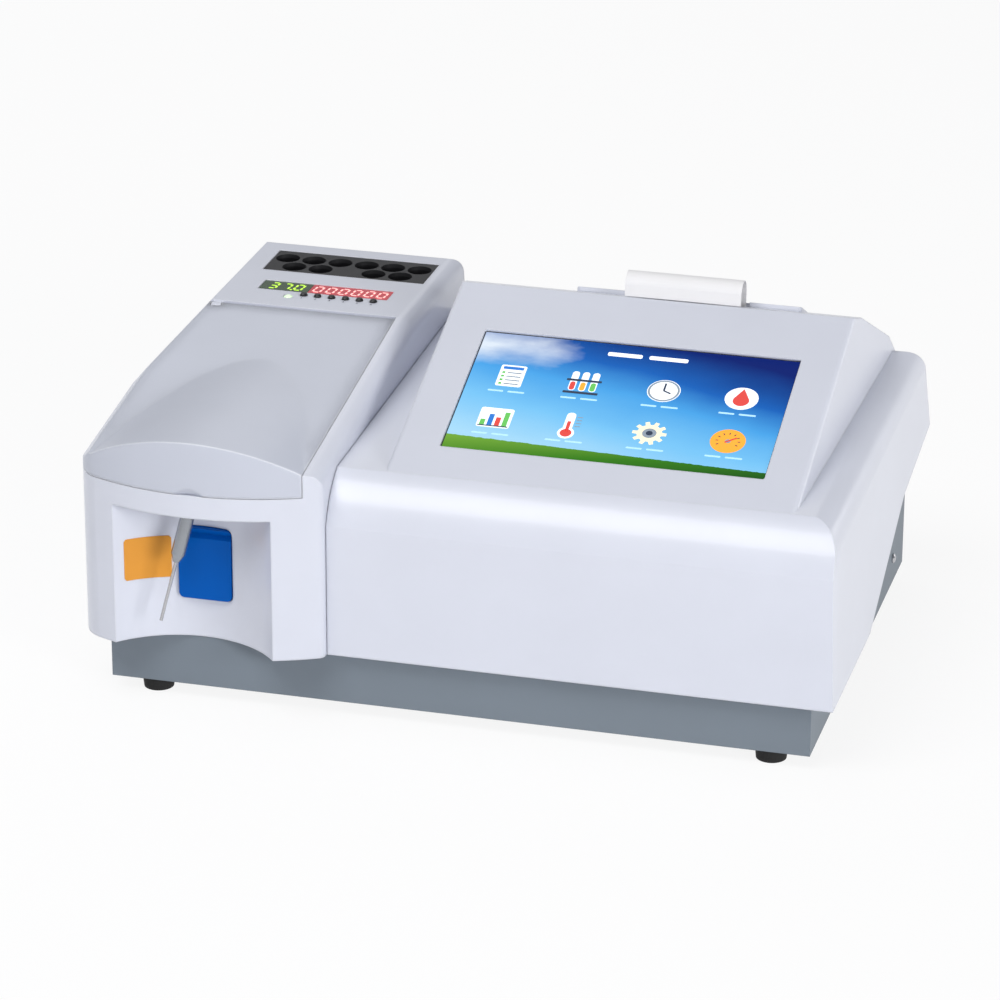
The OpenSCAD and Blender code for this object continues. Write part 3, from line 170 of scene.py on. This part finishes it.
def surface(name, colour, rough, metal=0.0, grain=900.0, bump=0.12, vary=0.04, coat=0.0,
            spec=0.5, depth=0.00004, stretch=None, edge=0.0, swell=None, edge_highlight=0.0, emit=None):
    """A finish with colour that drifts a little, roughness that varies and a fine grain.

    stretch scales the grain along the axes. Edges look rounded by the radius edge. swell is
    (y0, y1, radius): between these depths the radius grows from edge to the larger one, which
    softens the creases further back. The argument after swell is the width of a paler band
    along sharp edges, convex and concave alike, which is a painted highlight. emit is
    (colour, strength) of a finish that shines.
    """
    g = Graph(bpy.data.materials.new(name))
    where = g.add("TexCoord").outputs["Object"]
    drift = g.noise(where, DRIFT_SCALE, 4.0)
    tint = g.ramp(drift, [(0.25, shade(colour, 1 - vary)), (0.75, shade(colour, 1 + vary))])
    # A painted highlight: a paler band where the bevelled normal turns away from the true one, on
    # convex and concave edges alike
    if edge_highlight:
        turned = g.add("Bevel", samples=8, Radius=edge_highlight).outputs["Normal"]
        face = g.add("NewGeometry").outputs["True Normal"]
        meet = g.calc("DOT_PRODUCT", turned, face, kind="VectorMath")
        highlight_share = g.add("MapRange", Value=meet, From_Min=0.97, From_Max=0.80, To_Min=0.0,
                       To_Max=0.75).outputs["Result"]
        tint = g.mix(highlight_share, tint, HIGHLIGHT_TINT)
    along = g.add("Mapping", Vector=where, Scale=stretch).outputs["Vector"] if stretch else where
    fine = g.noise(along, grain, 2.0, 0.6)
    dull = g.add("MapRange", Value=fine, To_Min=rough * ROUGH_LEAST,
                 To_Max=min(1.0, rough * ROUGH_MOST)).outputs["Result"]
    relief = g.add("Bump", Strength=bump, Distance=depth, Height=fine)
    if edge:
        radius = edge
        if swell:
            y = g.add("SeparateXYZ", Vector=where).outputs["Y"]
            radius = g.add("MapRange", Value=y, From_Min=swell[0], From_Max=swell[1], To_Min=edge,
                           To_Max=swell[2]).outputs["Result"]
        soft = g.add("Bevel", samples=8 if swell else 4, Radius=radius)
        g.feed(relief, "Normal", soft.outputs["Normal"])
    p = g.add("BsdfPrincipled", Base_Color=tint, Roughness=dull, Normal=relief.outputs["Normal"],
              Metallic=metal, Coat_Weight=coat, Coat_Roughness=COAT_ROUGH, Specular_IOR_Level=spec)
    if emit:
        g.feed(p, "Emission Color", emit[0])
        g.feed(p, "Emission Strength", emit[1])
    return g.finish(p)


def glow(name, colour, strength):
    """A smooth finish that shines in its own colour."""
    return surface(name, colour, 0.2, grain=400.0, bump=0.0, vary=0.03, coat=0.6,
                   emit=(colour, strength))


def dress(material, *names):
    for name in names:
        mesh = node[name].data
        mesh.materials.clear()
        mesh.materials.append(material)


# The shell and the lid carry a painted highlight along their edges
shell = surface("shell_white", srgb(214, 217, 228), 0.34, grain=2600.0, bump=0.10, vary=0.018,
                coat=0.25, edge=0.0011, edge_highlight=0.0008)
lid_skin = surface("lid_white", srgb(196, 200, 212), 0.40, grain=1900.0, vary=0.02, coat=0.12,
                   edge=0.0022, swell=(-0.116, -0.098, 0.011), edge_highlight=0.0020)
base_paint = surface("base_paint", srgb(118, 128, 138), 0.52, grain=1500.0, bump=0.25, vary=0.03,
                     edge=0.0006)
black = surface("black_plastic", srgb(24, 24, 26), 0.42, grain=1800.0, bump=0.2, vary=0.10,
                edge=0.0003)
dark = surface("dark_plastic", srgb(52, 55, 60), 0.45, grain=1500.0, bump=0.2, vary=0.08,
               edge=0.0003)
rubber = surface("rubber", srgb(20, 20, 21), 0.78, grain=1100.0, bump=0.4, vary=0.14)
key_blue = surface("key_blue", srgb(0, 88, 178), 0.36, grain=2200.0, bump=0.10, vary=0.05,
                   spec=0.08, edge=0.0008)
plate_dark = surface("plate_dark", srgb(36, 36, 39), 0.55, grain=1700.0, bump=0.45, vary=0.10,
                     depth=0.00008)
steel = surface("steel", srgb(190, 190, 193), 0.26, metal=1.0, grain=700.0, bump=0.06, vary=0.05,
                stretch=(1.0, 1.0, 12.0))
sheet_metal = surface("sheet_metal", srgb(176, 180, 186), 0.36, metal=1.0, grain=500.0, bump=0.08,
                      vary=0.06, stretch=(14.0, 1.0, 1.0))
cast = surface("machined_aluminium", srgb(182, 185, 190), 0.38, metal=1.0, bump=0.14, vary=0.07,
               stretch=(1.0, 10.0, 1.0))
anodised = surface("anodised_dark", srgb(34, 34, 37), 0.46, metal=0.4, grain=1200.0, vary=0.10)
board = surface("board_green", srgb(28, 100, 62), 0.38, grain=700.0, bump=0.3, vary=0.16, coat=0.4)
cream = surface("cream_plastic", srgb(222, 219, 208), 0.45, grain=1500.0, bump=0.15, edge=0.0004)
paper = surface("paper", srgb(236, 235, 236), 0.88, grain=3200.0, bump=0.35, vary=0.015,
                depth=0.00003)
heater = surface("heater_film", srgb(186, 92, 38), 0.34, bump=0.1, vary=0.08, coat=0.5)
tubing = surface("tubing", srgb(226, 224, 212), 0.24, grain=1200.0, bump=0.05, vary=0.03, coat=0.6)
amber = surface("amber_plate", srgb(222, 150, 52), 0.5, grain=2500.0, bump=0.08, spec=0.3)
indicator = surface("indicator", srgb(225, 245, 215), 0.25, bump=0.05, vary=0.03, coat=0.5,
                    emit=(srgb(205, 240, 190), 0.35))
probe_grey = surface("probe_grey", srgb(150, 154, 160), 0.20, metal=0.75, bump=0.05, vary=0.08,
                     coat=0.6)
glass_black = surface("glass_black", srgb(10, 16, 30), 0.07, grain=300.0, bump=0.0, vary=0.1,
                      coat=1.0)
filter_green = surface("filter_green", srgb(58, 84, 50), 0.12, bump=0.02, vary=0.08, coat=1.0)
filter_red = surface("filter_red", srgb(196, 66, 76), 0.12, bump=0.02, vary=0.08, coat=1.0,
                     emit=(srgb(200, 60, 72), 0.25))

dress(shell, "main_cover", "pod_cover", "printer_door")
dress(lid_skin, "sampling_lid")
dress(base_paint, "base_tray", "rear_panel")
dress(rubber, "feet", "platen_roller")
dress(key_blue, "aspirate_key")
dress(black, "key_switch", "filter_wheel", "fan_frame", "fan_rotor", "power_inlet",
      "power_switch", "switch_rocker", "lcd_panel", *["timer_button_%d" % i for i in range(1, 7)])
dress(dark, "flow_cell", "detector", "pump_rotor", "printer_frame", "data_port")
dress(steel, "side_screws", "rear_screws", "lid_hinge_pin", "key_spring", "probe_needle",
      "fan_guard", "wheel_motor", "pump_motor")
dress(sheet_metal, "pod_chassis", "key_bracket", "block_bracket", "power_supply")
dress(cast, "lamp_housing")
dress(anodised, "incubator_block")
dress(plate_dark, "incubator_plate")
dress(board, "timer_board", "main_board")
dress(cream, "pump_body", "waste_port", "pump_roller_1", "pump_roller_2", "pump_roller_3")
dress(paper, "paper_roll", "paper_strip")
dress(heater, "heater_pad")
dress(tubing, "sample_tube", "pump_tube")
dress(indicator, "timer_indicator")
dress(probe_grey, "probe_holder")
dress(glass_black, "touch_glass")
dress(filter_green, "temp_display")
dress(filter_red, "timer_display")

SHARP = math.radians(28)
for obj in node.values():
    obj.data.shade_smooth()
    obj.data.set_sharp_from_angle(angle=SHARP)


# Small flat shapes
def piece(name, verts, faces, material, body):
    """A mesh in metres in the row frame, on a body of the model."""
    mesh = bpy.data.meshes.new(name)
    mesh.from_pydata([tuple(v) for v in verts], [], faces)
    mesh.materials.append(material)
    mesh.update()
    obj = bpy.data.objects.new(name, mesh)
    bpy.context.scene.collection.objects.link(obj)
    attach(obj, body)
    return obj


def flat(name, outlines, place, material):
    """Outlines in mm on a plane: place turns (x, y) on the plane into the row frame in mm."""
    verts, faces = [], []
    for outline in outlines:
        faces.append(list(range(len(verts), len(verts) + len(outline))))
        verts += [Vector(place(x, y)) * MM for x, y in outline]
    piece(name, verts, faces, material, "chassis")


CORNER_STEPS = 4
ROUND_STEPS = 40


def rect(cx, cy, w, h, r=0.0):
    """A rectangle about its centre, with its corners rounded by r."""
    if not r:
        x0, x1, y0, y1 = cx - w / 2, cx + w / 2, cy - h / 2, cy + h / 2
        return [(x0, y0), (x1, y0), (x1, y1), (x0, y1)]
    pts = []
    for sx, sy, start in ((1, 1, 0), (-1, 1, 90), (-1, -1, 180), (1, -1, 270)):
        for i in range(CORNER_STEPS + 1):
            a = math.radians(start + 90 * i / CORNER_STEPS)
            pts.append((cx + sx * (w / 2 - r) + r * math.cos(a),
                        cy + sy * (h / 2 - r) + r * math.sin(a)))
    return pts


def arc(cx, cy, r, sweep, count):
    """Points on a circle, from its right side on."""
    angles = [math.radians(sweep * i / ROUND_STEPS) for i in range(count)]
    return [(cx + r * math.cos(a), cy + r * math.sin(a)) for a in angles]


def disc(cx, cy, r):
    return arc(cx, cy, r, 360.0, ROUND_STEPS)


def ring(cx, cy, inner, outer):
    """A ring as one outline, so it stays open by a hair."""
    sweep, count = 359.99, ROUND_STEPS + 1
    return arc(cx, cy, outer, sweep, count) + arc(cx, cy, inner, sweep, count)[::-1]


def stroke(x0, y0, x1, y1, w):
    d = Vector((x1 - x0, y1 - y0)).normalized() * w / 2
    return [(x0 - d.y, y0 + d.x), (x0 + d.y, y0 - d.x), (x1 + d.y, y1 - d.x), (x1 - d.y, y1 + d.x)]


SEGMENTS = {"0": "abcdef", "3": "abgcd", "7": "abc"}
LEAN = 0.10


def seven(digit, cx, cy, w, h, t):
    """A seven-segment figure with bars of the width t."""
    x0, x1, y0, y1 = cx - w / 2, cx + w / 2, cy - h / 2, cy + h / 2
    gap = t * 0.6
    bars = {"a": (x0 + gap, y1, x1 - gap, y1), "d": (x0 + gap, y0, x1 - gap, y0),
            "g": (x0 + gap, cy, x1 - gap, cy), "f": (x0, cy + gap, x0, y1 - gap),
            "b": (x1, cy + gap, x1, y1 - gap), "e": (x0, y0 + gap, x0, cy - gap),
            "c": (x1, y0 + gap, x1, cy - gap)}
    return [[(x + (y - cy) * LEAN, y) for x, y in stroke(*bars[bar], t)]
            for bar in SEGMENTS[digit]]


# Heights and places repeated from the source of the model, in mm
FRONT_Y = 20 - 136.5
SCREEN_Y, SCREEN_Z, TILT = FRONT_Y + 20, 121.0, math.radians(19.5)
SCREEN_CX, SCREEN_V = 60.5, 21.5 + 43
PICTURE_SINK = 1.25
PLATEAU = 149.0
DISPLAY_TOP = PLATEAU - 0.3
DISPLAY_Y = FRONT_Y + 176.2
DISPLAY_X0 = -121 + 9 - 35.5
TIMER_X0 = DISPLAY_X0 + 25.4
BUTTON_Y = FRONT_Y + 165.6
BUTTON_X0 = TIMER_X0 - 0.3
BUTTON_PITCH = 7.2


def on_screen(x, y, lift):
    """A point beside the screen's centre, lift above its picture."""
    v, w = SCREEN_V + y, lift - PICTURE_SINK
    return (SCREEN_CX + x, SCREEN_Y + v * math.cos(TILT) - w * math.sin(TILT),
            SCREEN_Z + v * math.sin(TILT) + w * math.cos(TILT))


# The picture on the screen
def picture_material():
    """A sky with a cloud above grass, lit by the screen."""
    g = Graph(bpy.data.materials.new("screen_picture"))
    uv = g.add("UVMap").outputs["UV"]
    axes = g.add("SeparateXYZ", Vector=uv).outputs
    # The sky darkens upwards and to the right
    slope = g.calc("DOT_PRODUCT", uv, (0.26, 0.66, 0.0), kind="VectorMath")
    bend = g.calc("MULTIPLY_ADD", g.noise(uv, 2.2, 3.0), 0.16, slope)
    sky = g.ramp(bend, [(0.18, srgb(168, 218, 246)), (0.40, srgb(120, 196, 244)),
                        (0.58, srgb(74, 164, 232)), (0.72, srgb(22, 98, 186)),
                        (0.92, srgb(4, 32, 112))])
    # A bright cloud in the upper left corner thins out towards the middle
    drift = g.add("Mapping", Vector=uv, Location=(-0.02, -2.7, 0.0), Scale=(1.5, 3.0, 1.0))
    reach = g.calc("LENGTH", drift.outputs["Vector"], kind="VectorMath")
    ragged = g.calc("MULTIPLY_ADD", g.noise(uv, 3.4, 5.0, 0.55), 0.9, reach)
    streak = g.ramp(ragged, [(0.50, (0.85, 0.85, 0.85, 1)), (0.98, (0, 0, 0, 1))])
    clouded = g.mix(streak, sky, srgb(238, 247, 253))
    # Grass along the lower edge, darker to the right
    blades = g.calc("MULTIPLY", g.noise(uv, 60.0, 2.0), 0.012)
    hill = g.calc("MULTIPLY_ADD", axes["X"], 0.06, blades)
    height = g.calc("ADD", axes["Y"], hill)
    turf = g.calc("MULTIPLY_ADD", axes["X"], -0.60, 0.62)
    lawn = g.calc("MULTIPLY_ADD", height, 2.2, turf)
    grass = g.ramp(lawn, [(0.12, srgb(14, 72, 24)), (0.48, srgb(54, 124, 24)),
                          (0.88, srgb(116, 170, 58))])
    whole = g.mix(g.calc("LESS_THAN", height, 0.125), clouded, grass)
    dim = g.mix(1.0, whole, (0.14, 0.14, 0.14, 1), "MULTIPLY")
    return g.finish(g.add("BsdfPrincipled", Base_Color=dim, Roughness=0.34,
                          Specular_IOR_Level=0.14, Emission_Color=whole, Emission_Strength=0.93))


def screen_picture():
    """A fine grid, with the picture laid over it once."""
    w, h, nx, ny = 154.0, 86.0, 24, 14
    uvs = [(i / nx, j / ny) for j in range(ny + 1) for i in range(nx + 1)]
    verts = [Vector(on_screen(w * (u - 0.5), h * (v - 0.5), 0.0)) * MM for u, v in uvs]
    row = nx + 1
    starts = [j * row + i for j in range(ny) for i in range(nx)]
    faces = [(a, a + 1, a + row + 1, a + row) for a in starts]
    obj = piece("screen_picture", verts, faces, picture_material(), "chassis")
    layer = obj.data.uv_layers.new(name="UVMap")
    for loop in obj.data.loops:
        layer.data[loop.index].uv = uvs[loop.vertex_index]


screen_picture()

# The icons' colours in sRGB, each with its height over the picture in mm
ICON_TONES = {
    "white": ((240, 244, 250), 0.10), "cream": ((236, 226, 196), 0.12),
    "orange": ((244, 160, 50), 0.14), "red": ((204, 66, 60), 0.18),
    "green": ((96, 178, 84), 0.18), "blue": ((40, 110, 190), 0.20),
    "grey": ((128, 140, 152), 0.16), "haze": ((168, 212, 240), 0.08),
    "ink": ((40, 52, 72), 0.24)}
ICON_GLOW = 0.55
ICON_COLUMNS = (-57.0, -21.5, 17.5, 55.0)
ICON_ROWS = (12.5, -18.5)
LABEL_DROP = 11.4
TITLE_X, TITLE_Y = 4.0, 35.5
shapes = {tone: [] for tone in ICON_TONES}


def sheet_icon(x, y):
    """A list on a sheet."""
    shapes["white"].append(rect(x, y, 12.5, 15.5, 1.0))
    shapes["blue"].append(rect(x, y + 5.6, 10.0, 2.0, 0.4))
    for k in range(4):
        shapes["green"].append(rect(x - 4.2, y + 2.2 - 2.7 * k, 1.4, 1.4))
        shapes["grey"].append(rect(x + 1.2, y + 2.2 - 2.7 * k, 7.0, 0.8))


def rack_icon(x, y):
    """Three tubes in a rack."""
    for k, tone in enumerate(("red", "orange", "green")):
        cx = x + (k - 1) * 5.0
        shapes["white"].append(rect(cx, y + 1.0, 3.4, 14.0, 1.6))
        shapes[tone].append(rect(cx, y - 2.6, 2.5, 6.0, 1.2))
    shapes["ink"].append(rect(x, y + 1.6, 17.0, 1.5, 0.3))
    shapes["ink"].append(rect(x, y - 7.4, 17.0, 1.6, 0.3))


def clock_icon(x, y):
    """A clock face."""
    shapes["white"].append(disc(x, y, 8.0))
    shapes["grey"].append(ring(x, y, 6.6, 7.6))
    shapes["ink"].append(stroke(x, y, x, y + 5.4, 0.9))
    shapes["ink"].append(stroke(x, y, x + 3.6, y - 1.6, 0.9))


def drop_icon(x, y):
    """A drop on a disc: a round belly, and a tip above it."""
    shapes["white"].append(disc(x, y, 8.0))
    belly, sink, tip = 3.9, 1.6, 7.0
    angles = [math.radians(a) for a in range(25, -206, -12)]
    drop = [(x, y + tip)]
    drop += [(x + belly * math.cos(a), y - sink + belly * math.sin(a)) for a in angles]
    shapes["red"].append(drop[::-1])


def chart_icon(x, y):
    """Bars in a chart."""
    shapes["white"].append(rect(x, y, 16.0, 14.0, 1.2))
    for k, (h, tone) in enumerate(((4.0, "green"), (8.0, "blue"), (6.0, "red"), (10.0, "green"))):
        shapes[tone].append(rect(x - 5.4 + 3.6 * k, y - 5.6 + h / 2, 2.4, h))
    shapes["ink"].append(rect(x, y - 6.0, 14.5, 0.7))


def thermo_icon(x, y):
    """A thermometer."""
    shapes["white"].append(rect(x, y + 1.5, 4.4, 15.0, 2.1))
    shapes["white"].append(disc(x, y - 5.6, 4.0))
    shapes["red"].append(disc(x, y - 5.6, 2.8))
    shapes["red"].append(rect(x, y - 1.0, 1.7, 7.5))
    for k in range(4):
        shapes["grey"].append(rect(x + 4.4, y - 0.5 + 2.2 * k, 2.6, 0.6))


def gear_icon(x, y):
    """A wheel with ten teeth."""
    root, crown, teeth = 6.0, 8.2, 10
    pts = []
    for k in range(teeth):
        for turn, r in ((-11, root), (-7, crown), (7, crown), (11, root)):
            a = math.radians(360 // teeth * k + turn)
            pts.append((x + r * math.cos(a), y + r * math.sin(a)))
    shapes["cream"].append(pts)
    shapes["grey"].append(disc(x, y, 3.4))
    shapes["ink"].append(disc(x, y, 1.6))


def dial_icon(x, y):
    """A round dial with a pointer."""
    shapes["orange"].append(disc(x, y, 8.4))
    shapes["white"].append(disc(x, y, 6.6))
    for k in range(9):
        a = math.radians(210 - 30 * k)
        shapes["ink"].append(stroke(x + 4.6 * math.cos(a), y + 4.6 * math.sin(a),
                                    x + 5.9 * math.cos(a), y + 5.9 * math.sin(a), 0.5))
    shapes["red"].append(stroke(x - 1.4, y - 1.0, x + 3.8, y + 2.8, 0.9))
    shapes["grey"].append(disc(x, y, 1.4))


def icons():
    """Eight icons in two rows, two bars for each label, and two for the title."""
    draws = (sheet_icon, rack_icon, clock_icon, drop_icon,
             chart_icon, thermo_icon, gear_icon, dial_icon)
    spots = [(x, y) for y in ICON_ROWS for x in ICON_COLUMNS]
    for (x, y), draw in zip(spots, draws):
        draw(x, y)
        for dx, w in ((-4.9, 7.6), (5.1, 8.2)):
            shapes["haze"].append(rect(x + dx, y - LABEL_DROP, w, 1.2, 0.5))
    for dx, w in ((-10.5, 17.0), (10.8, 19.0)):
        shapes["white"].append(rect(TITLE_X + dx, TITLE_Y, w, 2.8, 1.0))
    for tone, (rgb, lift) in ICON_TONES.items():
        flat("icons_" + tone, shapes[tone], lambda x, y: on_screen(x, y, lift),
             glow("icon_" + tone, srgb(*rgb), ICON_GLOW))


icons()


# The figures of the displays and the numbers under the buttons
def over_display(x, y):
    return (x, y, DISPLAY_TOP + 0.12)


def display_figures():
    """37.0 in green, and six noughts in red."""
    w, h, pitch = 3.7, 7.6, 6.6
    shown = []
    for k, digit in enumerate("370"):
        shown += seven(digit, DISPLAY_X0 + 6.4 + pitch * k, DISPLAY_Y, w, h, 1.05)
    shown.append(rect(DISPLAY_X0 + 16.2, DISPLAY_Y - h / 2, 1.1, 1.1))
    green = glow("digit_green", srgb(190, 240, 70), 1.0)
    flat("temp_digits", shown, over_display, green)
    shown = []
    for k in range(6):
        shown += seven("0", TIMER_X0 + 4.2 + pitch * k, DISPLAY_Y, w, h, 1.0)
    red = glow("digit_red", srgb(255, 190, 185), 0.9)
    flat("timer_digits", shown, over_display, red)


def button_numbers():
    """The numbers 1 to 6 as flat meshes, a hair above the plateau."""
    name, y, z = "button_numbers", BUTTON_Y - 4.3, PLATEAU + 0.06
    verts, faces = [], []
    for i in range(6):
        x = BUTTON_X0 + BUTTON_PITCH * i
        curve = bpy.data.curves.new(name, "FONT")
        curve.body = str(i + 1)
        curve.size = 2.6
        curve.align_x = "CENTER"
        curve.align_y = "CENTER"
        temp = bpy.data.objects.new(name, curve)
        mesh = bpy.data.meshes.new_from_object(temp)
        base = len(verts)
        verts += [Vector((v.co.x + x, v.co.y + y, z)) * MM for v in mesh.vertices]
        faces += [[base + v for v in face.vertices] for face in mesh.polygons]
        bpy.data.objects.remove(temp)
        bpy.data.curves.remove(curve)
        bpy.data.meshes.remove(mesh)
    grey = surface("mark_grey", srgb(92, 96, 108), 0.6, grain=1500.0, bump=0.05)
    piece(name, verts, faces, grey, "chassis")


display_figures()
button_numbers()


def amber_plate():
    """A thin plate with round corners on the curved wall of the recess."""
    cx, cy, r = -122.5, FRONT_Y + 4.5 - 51.0, 51.0
    face_r, back_r = r - 0.35, r - 0.02
    z0, z1, a0, a1, corner = 63.2, 84.2, 107.2, 133.0, 1.2
    steps = 24
    half = math.radians(a1 - a0) / 2 * r
    mid = math.radians((a0 + a1) / 2)
    verts = []
    for i in range(steps + 1):
        u = -half + 2 * half * i / steps
        over = max(0.0, abs(u) - (half - corner))
        drop = corner - math.sqrt(max(0.0, corner ** 2 - over ** 2))
        lo, hi = z0 + drop, z1 - drop
        a = mid - u / r
        for rr, z in ((face_r, lo), (face_r, hi), (back_r, hi), (back_r, lo)):
            verts.append(Vector((cx + rr * math.cos(a), cy + rr * math.sin(a), z)) * MM)
    faces = []
    for b in range(0, 4 * steps, 4):
        c = b + 4
        faces += [(c + k, c + (k + 1) % 4, b + (k + 1) % 4, b + k) for k in range(4)]
    last = 4 * steps
    faces += [(0, 1, 2, 3), (last + 3, last + 2, last + 1, last)]
    piece("amber_plate", verts, faces, amber, "chassis")


amber_plate()


# A coil spring behind the key
def key_coil():
    """A closed coil spring in the place of the plain one, with end turns that lie close."""
    old = node["key_spring"]
    spots = [old.matrix_world @ v.co for v in old.data.vertices]
    lo = Vector([min(p[i] for p in spots) for i in range(3)])
    hi = Vector([max(p[i] for p in spots) for i in range(3)])
    wire, turns, steps, sides = 0.00045, 6, 28, 10
    reach = (hi.x - lo.x) / 2 - wire
    start, end = lo.y + wire, hi.y - wire
    close = 2.0 * wire
    pitch = (end - start - 2 * close) / (turns - 2)
    verts, faces = [], []
    for i in range(turns * steps + 1):
        t = i / steps
        a = math.tau * t
        y = (start + close * min(t, 1.0) + pitch * min(max(t - 1.0, 0.0), turns - 2)
             + close * max(t - turns + 1.0, 0.0))
        out = Vector((math.cos(a), 0.0, -math.sin(a)))
        run = Vector((-math.sin(a) * reach, pitch / math.tau, -math.cos(a) * reach))
        side = run.normalized().cross(out)
        middle = Vector(((lo.x + hi.x) / 2, y, (lo.z + hi.z) / 2)) + out * reach
        for k in range(sides):
            b = math.tau * k / sides
            verts.append(middle + (out * math.cos(b) + side * math.sin(b)) * wire)
    for first in range(0, turns * steps * sides, sides):
        for k in range(sides):
            b, c = first + k, first + (k + 1) % sides
            faces.append((b, c, c + sides, b + sides))
    last = turns * steps * sides
    faces += [tuple(range(sides))[::-1], tuple(range(last, last + sides))]
    coil = piece("key_coil", verts, faces, steel, "chassis")
    coil.data.shade_smooth()
    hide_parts("key_spring")
    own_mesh(coil)


key_coil()


# Floor and light
def ground():
    """A white floor that still takes a faint shadow."""
    half, z = 6.0, -0.0002
    mesh = bpy.data.meshes.new("floor")
    corners = [(-half, -half, z), (half, -half, z), (half, half, z), (-half, half, z)]
    mesh.from_pydata(corners, [], [(0, 1, 2, 3)])
    floor = bpy.data.objects.new("floor", mesh)
    bpy.context.scene.collection.objects.link(floor)
    g = Graph(bpy.data.materials.new("floor"))
    rays = g.add("LightPath").outputs
    spread = g.add("BsdfDiffuse", Color=(0.95, 0.95, 0.96, 1))
    white = g.add("Emission", Color=(1, 1, 1, 1), Strength=1.0)
    seen = g.calc("MAXIMUM", rays["Is Camera Ray"], rays["Is Glossy Ray"])
    share = g.calc("MULTIPLY", seen, 0.88)
    mesh.materials.append(g.finish(g.either(share, spread, white)))


def world():
    """White to the eye, and a low, cool fill for the light."""
    g = Graph(bpy.data.worlds.new("studio"))
    rays = g.add("LightPath").outputs
    fill = g.add("Background", Color=(0.93, 0.95, 1.0, 1), Strength=0.24)
    white = g.add("Background", Color=(1, 1, 1, 1), Strength=1.0)
    seen = g.calc("MAXIMUM", rays["Is Camera Ray"], rays["Is Transmission Ray"])
    bpy.context.scene.world = g.finish(g.either(seen, fill, white), "OutputWorld")


LAMP_AIM = Vector((0, 0, 0.1))


def lamp(name, place, size, power):
    """A soft box that faces the middle of the unit."""
    data = bpy.data.lights.new(name, "AREA")
    data.shape = "RECTANGLE"
    data.size, data.size_y = size
    data.energy = power
    obj = bpy.data.objects.new(name, data)
    obj.location = place
    obj.rotation_euler = (LAMP_AIM - Vector(place)).to_track_quat("-Z", "Y").to_euler()
    bpy.context.scene.collection.objects.link(obj)


ground()
world()
lamp("softbox_above", (-0.45, -1.0, 1.8), (1.3, 1.0), 23.5)
lamp("softbox_right", (2.2, -1.6, 0.7), (1.0, 0.8), 38.5)
lamp("rear_left", (-2.2, 1.3, 0.5), (1.0, 0.6), 11.0)
lamp("rear_right", (1.7, 1.9, 0.45), (1.0, 0.5), 5.5)
lamp("rim", (-0.6, 1.4, 1.2), (1.4, 0.8), 4.0)

bpy.context.scene.view_settings.view_transform = "Standard"
